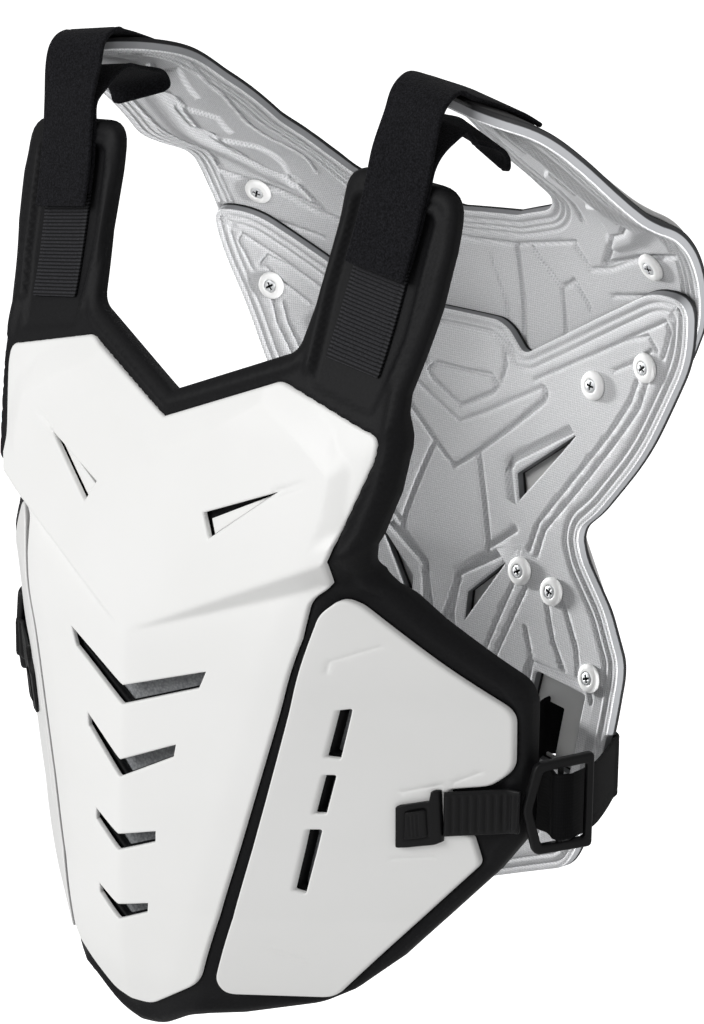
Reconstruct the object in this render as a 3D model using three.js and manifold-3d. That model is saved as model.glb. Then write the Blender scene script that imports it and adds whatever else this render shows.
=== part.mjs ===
// Protective vest shown as worn: front chest piece, back piece, shoulder straps and side straps.
// Millimetres, +Z up, the wearer looks along -Y, +X is the wearer's left side.
// The origin lies midway between the shoulders at the height where the straps rest on them.
import * as THREE from 'three';
import { mergeVertices } from 'three/addons/utils/BufferGeometryUtils.js';
import Module from 'manifold-3d';

const wasm = await Module();
wasm.setup();

const GAP = 0.3;
const PLATE = 3.0;
const FRONT_FOAM = 7.0;
const LINING = 1.2;
const PANEL_FOAM = 8.0;
const YOKE_FOAM = 7.0;
const BACK_PLATE = 2.5;
const STRAP = 2.4;
const STRAP_WIDTH = 36;
const SIDE_STRAP_WIDTH = 36;
const LADDER_WIDTH = 25;

// Layer heights, measured outward from the outer face of the front plates.
const LINER_TOP = -PLATE - GAP;
const LINER_BOTTOM = LINER_TOP - FRONT_FOAM;
const LINING_TOP = LINER_BOTTOM - GAP;
const TAB_RECESS = LINER_TOP - 1.2;
const VENT_POCKET = LINER_TOP - 3.4;

// Layer heights of the back, measured outward from the inner face of the back panel.
const YOKE_BOTTOM = PANEL_FOAM + GAP;
const YOKE_TOP = YOKE_BOTTOM + YOKE_FOAM;

const COLOURS = {
  white_plate: ['#f2f2f0', 0.35, 0.0],
  black_foam: ['#1c1c1d', 0.75, 0.0],
  grey_lining: ['#8a8c8e', 0.85, 0.0],
  silver_foam: ['#c9cacb', 0.7, 0.0],
  strap_fabric: ['#17171a', 0.95, 0.0],
  hook_fabric: ['#1a1a1c', 0.9, 0.0],
  black_plastic: ['#1b1b1c', 0.5, 0.0],
  white_cap: ['#ececea', 0.35, 0.0],
  screw_steel: ['#9a9c9e', 0.35, 1.0],
};

const vest = new THREE.Group();
vest.name = 'protective_vest';

function addPart(name, geometry, slot) {
  const [color, roughness, metalness] = COLOURS[slot];
  const material = new THREE.MeshStandardMaterial({ color, roughness, metalness });
  const mesh = new THREE.Mesh(geometry, material);
  mesh.name = name;
  vest.add(mesh);
}

// Linear and smooth interpolation through a table of [position, value] rows.
function linear(table, s) {
  let k = 0;
  while (k < table.length - 2 && s > table[k + 1][0]) k += 1;
  const [a, va] = table[k];
  const [b, vb] = table[k + 1];
  const f = Math.min(1, Math.max(0, (s - a) / (b - a)));
  return va + f * (vb - va);
}

function slopeAt(table, k) {
  const a = table[Math.max(0, k - 1)];
  const b = table[Math.min(table.length - 1, k + 1)];
  return (b[1] - a[1]) / (b[0] - a[0]);
}

function smooth(table, s) {
  let k = 0;
  while (k < table.length - 2 && s > table[k + 1][0]) k += 1;
  const [a, va] = table[k];
  const [b, vb] = table[k + 1];
  const h = b - a;
  const f = Math.min(1, Math.max(0, (s - a) / h));
  const f2 = f * f;
  const f3 = f2 * f;
  const ma = slopeAt(table, k) * h;
  const mb = slopeAt(table, k + 1) * h;
  return (2 * f3 - 3 * f2 + 1) * va + (f3 - 2 * f2 + f) * ma + (3 * f2 - 2 * f3) * vb + (f3 - f2) * mb;
}

const easeStep = (s, a, b) => {
  const f = Math.min(1, Math.max(0, (s - a) / (b - a)));
  return f * f * (3 - 2 * f);
};
const hinge = (d, r) => 0.5 * (d + Math.sqrt(d * d + r * r));

// Front surface: depth of the centre line, edge of the centre plate and the slopes beside it,
// each as rows of [-z, value].
const CENTRE_Y = [
  [-40, -49], [-10, -67], [40, -79.5], [100, -104.5], [130, -117.5], [142, -122], [200, -140], [245, -152],
  [275, -154], [315, -157.5], [356, -160.5], [395, -162.3], [430, -160], [453, -154.5], [490, -145],
];
const EDGE_X = [
  [60, 175], [80, 160], [131, 124], [207, 107.5], [213.5, 99.8], [322.8, 71.5], [431, 43.2], [472, 32],
];
const KEEL_SLOPE = [
  [205, 0.22], [260, 0.232], [301, 0.255], [350, 0.28], [391, 0.28], [431, 0.185], [472, 0.1],
];
const SIDE_SLOPE = [[210, 0.815], [275, 0.815], [359, 0.8], [439, 0.78]];
const CHEST_SLOPE = 0.075;

function frontPoint(x, z) {
  const ax = Math.sqrt(x * x + 9) - 3;
  const bandTop = -245 + 0.5 * ax;
  const bandBottom = -246 + 0.39 * ax;
  const upper = Math.min(1, Math.max(0, (z - bandBottom) / (bandTop - bandBottom + 1e-6)));
  const chest = CHEST_SLOPE * (1 - 0.6 * easeStep(z, -100, -40));
  const s1 = linear(KEEL_SLOPE, -z) * (1 - upper) + chest * upper;
  const s2 = s1 + 0.1 * easeStep(z, -90, -120);
  const edge = linear(EDGE_X, -z);
  const side = easeStep(z, -70, -115);
  const crease = (s2 - s1) * hinge(Math.abs(x) - edge + 13, 3);
  const bend = side * (linear(SIDE_SLOPE, -z) - s2) * hinge(Math.abs(x) - edge - 3, 3);
  return new THREE.Vector3(x, smooth(CENTRE_Y, -z) + s1 * ax + crease + bend, z);
}

// Back surface: one profile from the lower edge up the back to the shoulder tips, as rows of [y, z].
const BACK_PROFILE = [
  [90, -480], [91, -450], [94, -400], [98, -350], [104, -300], [112, -250], [121, -200], [126, -146], [122, -115],
  [116, -95], [102, -70], [81, -54], [55, -37], [22, -13], [-1, 1.7], [-27.4, 11], [-62, 19],
];
const PROFILE_START = -388.4;
const runY = [];
const runZ = [];
let run = PROFILE_START;
BACK_PROFILE.forEach(([y, z], k) => {
  if (k > 0) run += Math.hypot(y - BACK_PROFILE[k - 1][0], z - BACK_PROFILE[k - 1][1]);
  runY.push([run, y]);
  runZ.push([run, z]);
});

function backPoint(u, t) {
  const lean = 0.15 * easeStep(t, 0, 80) * (Math.abs(u) - 80);
  return new THREE.Vector3(-u, smooth(runY, t) - 0.0009 * u * u, smooth(runZ, t) - lean);
}

// A sheet is a grid of surface points with normals; bodies cut in its flat map are laid on it.
function makeSheet(surface, us, vs, place, layerAxis) {
  const nodes = [];
  const step = 0.5;
  for (let i = 0; i < vs.length; i += 1) {
    for (let j = 0; j < us.length; j += 1) {
      const [u, v] = place(us[j], vs[i]);
      const du = surface(u + step, v).sub(surface(u - step, v));
      const dv = surface(u, v + step).sub(surface(u, v - step));
      const normal = layerAxis(du.cross(dv).normalize());
      nodes.push({ u, v, point: surface(u, v), normal, lift: 0.0004 * (u * u + v * v) });
    }
  }
  const triangles = [];
  for (let i = 0; i + 1 < vs.length; i += 1) {
    for (let j = 0; j + 1 < us.length; j += 1) {
      const a = i * us.length + j;
      const [b, c, d] = [a + 1, a + us.length + 1, a + us.length];
      if (j < us.length / 2) triangles.push([a, b, d], [b, c, d]);
      else triangles.push([a, b, c], [a, c, d]);
    }
  }
  const rim = [];
  const [cols, rows] = [us.length, vs.length];
  for (let j = 0; j < cols - 1; j += 1) rim.push(j);
  for (let i = 0; i < rows - 1; i += 1) rim.push(i * cols + cols - 1);
  for (let j = cols - 1; j > 0; j -= 1) rim.push((rows - 1) * cols + j);
  for (let i = rows - 1; i > 0; i -= 1) rim.push(i * cols);
  return { nodes, triangles, rim };
}

function barycentric(sheet, triangle, u, v) {
  const [a, b, c] = triangle.map((k) => sheet.nodes[k]);
  const area = (b.u - a.u) * (c.v - a.v) - (c.u - a.u) * (b.v - a.v);
  const wb = ((u - a.u) * (c.v - a.v) - (c.u - a.u) * (v - a.v)) / area;
  const wc = ((b.u - a.u) * (v - a.v) - (u - a.u) * (b.v - a.v)) / area;
  return [1 - wb - wc, wb, wc];
}

function layOn(sheet, u, v, w, lifted) {
  let best = null;
  let bestInside = -Infinity;
  for (const triangle of sheet.triangles) {
    const weights = barycentric(sheet, triangle, u, v);
    const inside = Math.min(...weights);
    if (inside > bestInside) {
      bestInside = inside;
      best = { triangle, weights };
      if (inside > 1e-6) break;
    }
  }
  const point = new THREE.Vector3();
  const normal = new THREE.Vector3();
  let lift = 0;
  best.triangle.forEach((k, n) => {
    point.addScaledVector(sheet.nodes[k].point, best.weights[n]);
    normal.addScaledVector(sheet.nodes[k].normal, best.weights[n]);
    lift += sheet.nodes[k].lift * best.weights[n];
  });
  return point.addScaledVector(normal, lifted ? w - lift : w);
}

function solid(positions, indices) {
  const vertProperties = new Float32Array(positions);
  const triVerts = new Uint32Array(indices);
  return new wasm.Manifold(new wasm.Mesh({ numProp: 3, vertProperties, triVerts }));
}

function toSolid(geometry) {
  const bare = geometry.clone();
  bare.deleteAttribute('normal');
  bare.deleteAttribute('uv');
  const merged = mergeVertices(bare, 1e-4);
  return solid(merged.attributes.position.array, merged.index.array);
}

function fromSolid(body, move) {
  const mesh = body.getMesh();
  const positions = new Float32Array(mesh.vertProperties);
  const point = new THREE.Vector3();
  for (let k = 0; k < positions.length; k += 3) {
    point.fromArray(positions, k);
    if (move) move(point).toArray(positions, k);
  }
  const geometry = new THREE.BufferGeometry();
  geometry.setAttribute('position', new THREE.BufferAttribute(positions, 3));
  geometry.setIndex(new THREE.BufferAttribute(new Uint32Array(mesh.triVerts), 1));
  geometry.computeVertexNormals();
  return geometry;
}

function slab(sheet, low, high) {
  const positions = [];
  for (const w of [low, high]) {
    for (const node of sheet.nodes) positions.push(node.u, node.v, w + node.lift);
  }
  const top = sheet.nodes.length;
  const indices = [];
  for (const [a, b, c] of sheet.triangles) indices.push(a, c, b, a + top, b + top, c + top);
  sheet.rim.forEach((a, k) => {
    const b = sheet.rim[(k + 1) % sheet.rim.length];
    indices.push(a, b, b + top, a, b + top, a + top);
  });
  return solid(positions, indices);
}

// Outlines: rows of [x, v, corner radius]; a half outline runs from the top of the centre line down.
function mirrored(half) {
  const other = half.filter(([x]) => x > 0.01).map(([x, v, r]) => [-x, v, r]);
  return half.concat(other.reverse());
}

const flip = (outline) => outline.map(([x, v, r]) => [-x, v, r]).reverse();

function rounded(outline) {
  const path = [];
  outline.forEach(([x, v, r], k) => {
    const here = new THREE.Vector2(x, v);
    if (!r) {
      path.push(here);
      return;
    }
    const before = outline[(k + outline.length - 1) % outline.length];
    const after = outline[(k + 1) % outline.length];
    const toBefore = new THREE.Vector2(before[0], before[1]).sub(here);
    const toAfter = new THREE.Vector2(after[0], after[1]).sub(here);
    const reach = Math.min(r, 0.49 * toBefore.length(), 0.49 * toAfter.length());
    const start = here.clone().addScaledVector(toBefore.normalize(), reach);
    const end = here.clone().addScaledVector(toAfter.normalize(), reach);
    for (const f of [0, 0.5, 1]) {
      const p = start.clone().lerp(here, f).lerp(here.clone().lerp(end, f), f);
      path.push(p);
    }
  });
  return path;
}

function prism(outline, holes = [], low = -60, high = 260) {
  const shape = new THREE.Shape(rounded(outline));
  const geometry = new THREE.ExtrudeGeometry(shape, { depth: high - low, bevelEnabled: false });
  geometry.translate(0, 0, low);
  let body = toSolid(geometry);
  for (const hole of holes) body = body.subtract(prism(hole, [], low - 1, high + 1));
  return body;
}

const cutSheet = (sheet, low, high, outline, holes) => slab(sheet, low, high).intersect(prism(outline, holes));
const laid = (sheet, body) => fromSolid(body, (p) => layOn(sheet, p.x, p.y, p.z, true));

// Front grid: columns follow the edge of the centre plate, rows follow the chevron of the step.
const FRONT_COLUMNS = [0, 0.5, 1, 2, 3, 3.5, 4];
const FRONT_ROWS = [
  [8, 0], [-22, 0], [-58, 0], [-92, 0], [-118, 0.05], [-150, 0.15], [-185, 0.3], [-216, 0.42], [-245, 0.5],
  [-246.5, 0.39], [-285, 0.3], [-325, 0.22], [-365, 0.15], [-400, 0.08], [-430, 0], [-454, 0], [-480, 0],
];
function frontPlace(column, [z0, chevron]) {
  const level = Math.abs(column);
  let x = 0;
  let z = z0;
  for (let k = 0; k < 8; k += 1) {
    const edge = linear(EDGE_X, -z);
    const spread = [[0, 0], [1, edge - 13], [2, edge], [3, edge + 6], [4, Math.max(195, edge + 20)]];
    x = linear(spread, level);
    z = z0 + chevron * Math.min(x, 130);
  }
  return [Math.sign(column) * x, z];
}
const frontColumns = FRONT_COLUMNS.slice(1).map((c) => -c).reverse().concat(FRONT_COLUMNS);
const throughDepth = (normal) => new THREE.Vector3(0, -Math.min(1.3, -1 / normal.y), 0);
const front = makeSheet(frontPoint, frontColumns, FRONT_ROWS.slice().reverse(), frontPlace, throughDepth);

const LINER = mirrored([
  [0, -130, 0], [68, -101, 6], [73.5, -67, 0], [76, -13, 13], [142, -18, 14], [143, -46, 0], [141, -71, 0],
  [136, -98, 8], [133.5, -111, 0], [135, -137, 0], [133, -158, 0], [128, -179, 0], [120, -198, 7],
  [145, -226, 0], [178, -258, 8], [180, -268, 0], [178, -315, 0], [177, -342, 8], [164, -364, 0],
  [125, -415, 0], [105, -435, 0], [91, -444, 5], [58, -452, 0], [36, -454, 8], [14, -468, 8], [0, -470, 0],
]);
const CENTRE_PLATE = mirrored([
  [0, -142, 0], [64, -115, 3], [125, -131, 6], [125, -141, 4], [106, -207, 4], [97, -215, 4], [95, -234, 0],
  [72, -323, 0], [44, -431, 7], [13, -453, 5], [0, -454, 0],
]);
const SIDE_PLATE = [
  [102, -221, 4], [110, -213, 6], [117, -216, 5], [175, -273, 6], [174, -305, 8], [165, -313.5, 3],
  [149, -315.5, 2], [150, -339, 2], [157, -342, 2], [160, -358, 3], [99, -438, 5], [55, -437, 6],
  [52, -428, 4], [78, -322, 0],
];
// Chevron slots: columns apex top, apex bottom, tip x, tip, end x, end, as depths below the shoulders.
const CHEVRON_SLOTS = [
  [275.5, 285.5, 47, 259, 43, 268.5], [315.3, 324.5, 31, 301, 30, 307.5],
  [356, 364.7, 21, 350, 21, 355.8], [395.4, 403.8, 17.3, 390.8, 17, 395.8],
].map(([up, low, tipX, tip, endX, end]) => (
  mirrored([[0, -up, 0], [tipX, -tip, 0], [endX, -end, 0], [0, -low, 0]])
));
const SIDE_SLOTS = [
  [[108, -272, 1], [114, -271, 1], [108, -299, 1], [102, -298, 1]],
  [[101, -308, 1], [106, -308, 1], [101, -330, 1], [96, -330, 1]],
  [[93, -339, 1], [99, -339, 1], [91, -376, 1], [86, -374, 1]],
];
const VENT = [[77, -164, 0], [43, -192, 0], [37, -181, 0]];
const VENT_INSERT = [[69.5, -168.6, 0], [44.5, -189, 0], [40.3, -181.6, 0]];
const RECESS = [[80, -115, 3], [119, -123, 3], [127, -85, 0], [131, -30, 4], [84, -26, 4], [79, -70, 0]];

const sideSlotsBoth = SIDE_SLOTS.concat(SIDE_SLOTS.map(flip));
const FOAM_HOLES = CHEVRON_SLOTS.concat(sideSlotsBoth);
let liner = cutSheet(front, LINER_BOTTOM, LINER_TOP, LINER, FOAM_HOLES);
for (const side of [RECESS, flip(RECESS)]) liner = liner.subtract(cutSheet(front, TAB_RECESS, 6, side));
for (const side of [VENT, flip(VENT)]) liner = liner.subtract(cutSheet(front, VENT_POCKET, 6, side));
addPart('front_liner', laid(front, liner), 'black_foam');

const LINING_OUTLINE = mirrored([
  [0, -138, 0], [72, -108, 5], [79, -66, 0], [81, -19, 9], [136, -24, 9], [136, -70, 0], [128, -112, 0],
  [129, -140, 0], [115, -199, 6], [140, -230, 0], [172, -262, 7], [171, -340, 7], [101, -430, 0], [56, -446, 0],
  [34, -448, 7], [10, -462, 7], [0, -463, 0],
]);
const liningBody = cutSheet(front, LINING_TOP - LINING, LINING_TOP, LINING_OUTLINE);
addPart('front_lining', laid(front, liningBody), 'grey_lining');

const plateHoles = CHEVRON_SLOTS.concat([VENT, flip(VENT)]);
addPart('front_centre_plate', laid(front, cutSheet(front, -PLATE, 0, CENTRE_PLATE, plateHoles)), 'white_plate');

const SIDES = [['left', 1], ['right', -1]];
const onSide = (outline, sign) => (sign > 0 ? outline : flip(outline));
for (const [side, sign] of SIDES) {
  const plate = cutSheet(front, -PLATE, 0, onSide(SIDE_PLATE, sign), SIDE_SLOTS.map((s) => onSide(s, sign)));
  addPart(`front_side_plate_${side}`, laid(front, plate), 'white_plate');
  const insert = cutSheet(front, VENT_POCKET + GAP, VENT_POCKET + GAP + 1.5, onSide(VENT_INSERT, sign));
  addPart(`vent_insert_${side}`, laid(front, insert), 'white_plate');
}

// Hook patch in the recess of each shoulder tab; the strap axis leans outward going up.
const strapAxis = (z) => 101 + 0.097 * (z + 104);
const patchCorner = (z, s) => [strapAxis(z) + s * 16, z - s * 2.4, 1.5];
const PATCH = [patchCorner(-103, -1), patchCorner(-103, 1), patchCorner(-38, 1), patchCorner(-38, -1)];
for (const [side, sign] of SIDES) {
  const patch = cutSheet(front, TAB_RECESS + GAP, TAB_RECESS + GAP + 1.5, onSide(PATCH, sign));
  addPart(`hook_patch_${side}`, laid(front, patch), 'hook_fabric');
}

// Back grid and outlines, in x and run along the back profile (0 at the neck base, positive over the shoulder).
const BACK_COLUMNS = [-178, -150, -122, -95, -66, -33, 0, 33, 66, 95, 122, 150, 178];
const BACK_RUNS = [
  -392, -350, -300, -250, -205, -160, -118, -80, -50, -20, 5, 30, 55, 80, 108, 136, 158, 180, 204,
];
const back = makeSheet(backPoint, BACK_COLUMNS, BACK_RUNS, (u, t) => [u, t], (normal) => normal);

const PANEL = mirrored([
  [0, -47, 0], [22, -47, 4], [30, -51, 3], [41, -63, 5], [95, -31, 0], [138, -7, 6], [151, -3, 8], [165, -6, 8],
  [171, -17, 6], [165, -38, 0], [151, -66, 0], [137, -98, 0], [110, -136, 6], [100, -147, 5], [99, -155, 4],
  [104, -165, 5], [126, -187, 6], [141, -211, 6], [142, -221, 4], [139, -256, 0], [119, -330, 7],
  [108, -343, 8], [50, -371, 8], [0, -378, 0],
]);
const BACK_VENTS = [
  [[84, -99, 0], [45, -130, 0], [49, -144, 0]],
  [[45, -181, 0], [20, -205, 0], [20, -221, 0]],
];
const STRAP_SLOT = [[76, -236, 2], [114, -238, 2], [107, -288, 2], [68, -286, 2]];
const panelHoles = BACK_VENTS.concat([STRAP_SLOT]);
const bothSides = (outlines) => outlines.concat(outlines.map(flip));
addPart('back_panel', laid(back, cutSheet(back, 0, PANEL_FOAM, PANEL, bothSides(panelHoles))), 'silver_foam');

const YOKE = mirrored([
  [0, 11, 0], [40, 15, 0], [68, 24, 8], [75, 36, 0], [70, 62, 0], [67, 100, 0], [71, 132, 0], [80, 164, 8],
  [92, 184, 8], [104, 190, 6], [136, 190, 8], [147, 179, 8], [148, 150, 0], [153, 102, 0], [161, 70, 0],
  [168, 40, 0], [173, 10, 10], [168, -22, 10], [150, -48, 8], [118, -72, 0], [60, -78, 0], [0, -78, 0],
]);
addPart('back_yoke', laid(back, cutSheet(back, YOKE_BOTTOM, YOKE_TOP, YOKE)), 'silver_foam');

const UPPER_PLATE = mirrored([
  [0, 0, 0], [52, 6, 6], [84, 30, 8], [82, 70, 0], [84, 112, 10], [136, 112, 10], [150, 70, 0], [160, 20, 10],
  [150, -30, 10], [108, -62, 8], [0, -68, 0],
]);
const upperPlate = cutSheet(back, YOKE_TOP + GAP, YOKE_TOP + GAP + BACK_PLATE, UPPER_PLATE);
addPart('back_upper_plate', laid(back, upperPlate), 'white_plate');

const LOWER_PLATE = mirrored([
  [0, -82, 0], [122, -82, 8], [127, -98, 8], [98, -138, 8], [90, -152, 6], [114, -186, 8], [129, -214, 8],
  [129, -256, 0], [109, -326, 10], [48, -358, 8], [0, -364, 0],
]);
const PLATE_SLOT = [[77, -239, 1], [94, -240, 1], [89, -286, 1], [71, -285, 1]];
const lowerPlate = cutSheet(back, YOKE_BOTTOM, YOKE_BOTTOM + BACK_PLATE, LOWER_PLATE, bothSides([PLATE_SLOT]));
addPart('back_lower_plate', laid(back, lowerPlate), 'white_plate');

// Ribbons: stations of [centre, half width vector]; the section is a flat bar along the path.
function ribbon(stations, thickness) {
  const positions = [];
  const indices = [];
  const last = stations.length - 1;
  stations.forEach(([centre, half], k) => {
    const from = stations[Math.max(0, k - 1)][0];
    const to = stations[Math.min(last, k + 1)][0];
    const normal = to.clone().sub(from).cross(half).normalize().multiplyScalar(thickness / 2);
    for (const [s, w] of [[-1, -1], [1, -1], [1, 1], [-1, 1]]) {
      const p = centre.clone().addScaledVector(half, s).addScaledVector(normal, w);
      positions.push(p.x, p.y, p.z);
    }
  });
  for (let k = 0; k < last; k += 1) {
    for (let c = 0; c < 4; c += 1) {
      const [a, b] = [4 * k + c, 4 * k + ((c + 1) % 4)];
      indices.push(a, a + 4, b + 4, a, b + 4, b);
    }
  }
  indices.push(0, 1, 2, 0, 2, 3);
  const e = 4 * last;
  indices.push(e, e + 2, e + 1, e, e + 3, e + 2);
  let volume = 0;
  const [a, b, c] = [new THREE.Vector3(), new THREE.Vector3(), new THREE.Vector3()];
  for (let k = 0; k < indices.length; k += 3) {
    a.fromArray(positions, 3 * indices[k]);
    b.fromArray(positions, 3 * indices[k + 1]);
    c.fromArray(positions, 3 * indices[k + 2]);
    volume += a.dot(b.cross(c));
  }
  if (volume < 0) indices.reverse();
  const geometry = new THREE.BufferGeometry();
  geometry.setAttribute('position', new THREE.BufferAttribute(new Float32Array(positions), 3));
  geometry.setIndex(indices);
  geometry.computeVertexNormals();
  return geometry;
}

const acrossX = (v) => new THREE.Vector3(-v.x, v.y, v.z);
const mirrorX = (stations) => stations.map(([centre, half]) => [acrossX(centre), acrossX(half)]);

function onTab(z, w) {
  const [x, half] = [strapAxis(z), STRAP_WIDTH / 2];
  const inner = layOn(front, x - half, z + 2.6, w, false);
  const outer = layOn(front, x + half, z - 2.6, w, false);
  return [inner.clone().add(outer).multiplyScalar(0.5), outer.sub(inner).multiplyScalar(0.5)];
}

function onArm(x, t, w) {
  const inner = layOn(back, -x + STRAP_WIDTH / 2, t, w, false);
  const outer = layOn(back, -x - STRAP_WIDTH / 2, t, w, false);
  return [inner.clone().add(outer).multiplyScalar(0.5), outer.sub(inner).multiplyScalar(0.5)];
}

const free = (x, y, z) => [new THREE.Vector3(x, y, z), new THREE.Vector3(STRAP_WIDTH / 2, -2.4, -2.4)];
const PATCH_TOP = TAB_RECESS + GAP + 1.5;
const TONGUE_MID = PATCH_TOP + GAP + STRAP / 2;
const STRAP_MID = TONGUE_MID + STRAP + GAP;
const armOver = YOKE_TOP + 0.9 + STRAP / 2;
const armUnder = YOKE_BOTTOM - GAP - STRAP / 2;
const STRAP_PATH = [
  onTab(-58, STRAP_MID), onTab(-38, STRAP_MID), onTab(-18, STRAP_MID), onTab(-4, STRAP_MID), free(112, -64.5, 12),
  free(112.8, -61, 21), free(113.3, -55.5, 26), free(113.6, -48.5, 27.6), onArm(113.8, 190, armOver + 0.6),
  onArm(114, 180, armOver), onArm(114.5, 158, armOver), onArm(115, 146, armOver),
];
const TONGUE_PATH = [
  onTab(-52, TONGUE_MID), onTab(-36, TONGUE_MID), onTab(-19, TONGUE_MID), onTab(-7, TONGUE_MID), free(111.4, -61, 2),
  free(112.4, -54, 8), free(112.9, -46, 10.8), onArm(113.5, 184, armUnder), onArm(114, 170, armUnder),
  onArm(114.5, 146, armUnder), onArm(115, 118, armUnder),
];
addPart('shoulder_strap_left', ribbon(STRAP_PATH, STRAP), 'strap_fabric');
addPart('shoulder_strap_right', ribbon(mirrorX(STRAP_PATH), STRAP), 'strap_fabric');
addPart('shoulder_tongue_left', ribbon(TONGUE_PATH, STRAP), 'strap_fabric');
addPart('shoulder_tongue_right', ribbon(mirrorX(TONGUE_PATH), STRAP), 'strap_fabric');

// Buckle frame, ladder strap and catch: plan positions along the side, heights about BUCKLE_Z.
const BUCKLE_Z = -325;
const BUCKLE_START = new THREE.Vector2(180, -58);
const BUCKLE_AIM = new THREE.Vector2(0.45, 0.893);
const FRAME_THICK = 4.2;
const FRAME = [[0, 0, 3], [6.5, 25, 4], [39, 26, 3], [39, -26, 3], [6.5, -25, 4]];
const WINDOW = [[5, 0, 2], [10.5, 20, 2], [35, 20.5, 2], [35, -20.5, 2], [10.5, -20, 2]];
const BAR_AT = 21;
const BAR_SIZE = 3;

function standUp(geometry, start, aim, z) {
  const along = new THREE.Vector3(aim.x, aim.y, 0);
  const up = new THREE.Vector3(0, 0, 1);
  const out = along.clone().cross(up);
  const frame = new THREE.Matrix4().makeBasis(along, up, out);
  frame.setPosition(start.x, start.y, z);
  return geometry.applyMatrix4(frame);
}

const mirrorGeometry = (geometry) => {
  const copy = geometry.clone().applyMatrix4(new THREE.Matrix4().makeScale(-1, 1, 1));
  copy.setIndex(Array.from(copy.index.array).reverse());
  copy.computeVertexNormals();
  return copy;
};

function addPair(name, geometry, slot) {
  addPart(`${name}_left`, geometry, slot);
  addPart(`${name}_right`, mirrorGeometry(geometry), slot);
}

const frameBody = prism(FRAME, [WINDOW], -FRAME_THICK / 2, FRAME_THICK / 2);
const barEdge = BAR_SIZE / 2;
const BAR = [[BAR_AT - barEdge, -23, 0], [BAR_AT + barEdge, -23, 0], [BAR_AT + barEdge, 23, 0], [BAR_AT - barEdge, 23, 0]];
const barBody = prism(BAR, [], -barEdge, barEdge);
const buckle = standUp(fromSolid(frameBody.add(barBody)), BUCKLE_START, BUCKLE_AIM, BUCKLE_Z);
addPair('buckle_frame', buckle, 'black_plastic');

// Ladder strap: lies on the side plate behind the catch, ridged across, and runs to the buckle frame.
const LADDER_THICK = 2.4;
const ladderStation = (x, z, w) => {
  const low = layOn(front, x, z - LADDER_WIDTH / 2, w, false);
  const high = layOn(front, x + 1, z + LADDER_WIDTH / 2, w, false);
  return [low.clone().add(high).multiplyScalar(0.5), high.sub(low).multiplyScalar(0.5)];
};
const ladderMid = 0.4 + LADDER_THICK / 2;
const ladderEnd = BUCKLE_START.clone().addScaledVector(BUCKLE_AIM, -1.3);
const LADDER_PATH = [];
for (let k = 0; k <= 8; k += 1) {
  const ridge = k % 2 ? 0.35 : 0;
  LADDER_PATH.push(ladderStation(148 + 3.05 * k, -328.5 + 0.25 * k, ladderMid + ridge));
}
const ladderTip = new THREE.Vector3(ladderEnd.x, ladderEnd.y, BUCKLE_Z - 0.5);
LADDER_PATH.push([ladderTip, new THREE.Vector3(0, 0.4, LADDER_WIDTH / 2 - 1)]);
addPair('ladder_strap', ribbon(LADDER_PATH, LADDER_THICK), 'black_plastic');

const CATCH = [
  [128.5, -348, 1.5], [144.5, -345.5, 1], [147, -344, 0], [147, -315, 1], [144, -315, 1], [143, -321, 1],
  [129.5, -324, 1.5],
];
const LEVER = [[133, -342.5, 1], [142, -340.5, 1], [142, -325, 1], [134, -327, 1]];
const catchBody = cutSheet(front, GAP, 4.2, CATCH).add(cutSheet(front, 3.6, 6.4, LEVER));
addPair('strap_catch', laid(front, catchBody), 'black_plastic');

// Side strap: a flat loop from the buckle bar round the rim of the back panel, standing on edge.
const barPlan = BUCKLE_START.clone().addScaledVector(BUCKLE_AIM, BAR_AT);
const SIDE_STRAP_THICK = 2.2;
const LOOP = [
  [barPlan.x + 2.6, barPlan.y - 1.5], [barPlan.x + 3.6, barPlan.y + 2.2], [182, 2], [166, 46], [150, 80], [145, 89.5],
  [139, 94.5], [129, 97], [110, 101.3], [92, 105.2], [86, 105.4], [82.6, 102], [82.3, 96], [84.5, 88],
  [112, 57], [150, 11], [178, -28], [barPlan.x - 2.2, barPlan.y - 1.2], [barPlan.x, barPlan.y - 3.2],
];
const LOOP_SHEAR = -0.2;

function offsetLoop(points, distance) {
  return points.map((p, k) => {
    const a = points[(k + points.length - 1) % points.length];
    const b = points[(k + 1) % points.length];
    const d = new THREE.Vector2(b[0] - a[0], b[1] - a[1]).normalize();
    return new THREE.Vector2(p[0] + d.y * distance, p[1] - d.x * distance);
  });
}

const loopShape = new THREE.Shape(offsetLoop(LOOP, SIDE_STRAP_THICK));
loopShape.holes.push(new THREE.Path(offsetLoop(LOOP, 0)));
const loopGeometry = new THREE.ExtrudeGeometry(loopShape, { depth: SIDE_STRAP_WIDTH, bevelEnabled: false });
const loopBody = fromSolid(toSolid(loopGeometry), (p) => {
  p.z += BUCKLE_Z - SIDE_STRAP_WIDTH / 2 + LOOP_SHEAR * (p.y - barPlan.y);
  return p;
});
addPair('side_strap', loopBody, 'strap_fabric');

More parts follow.
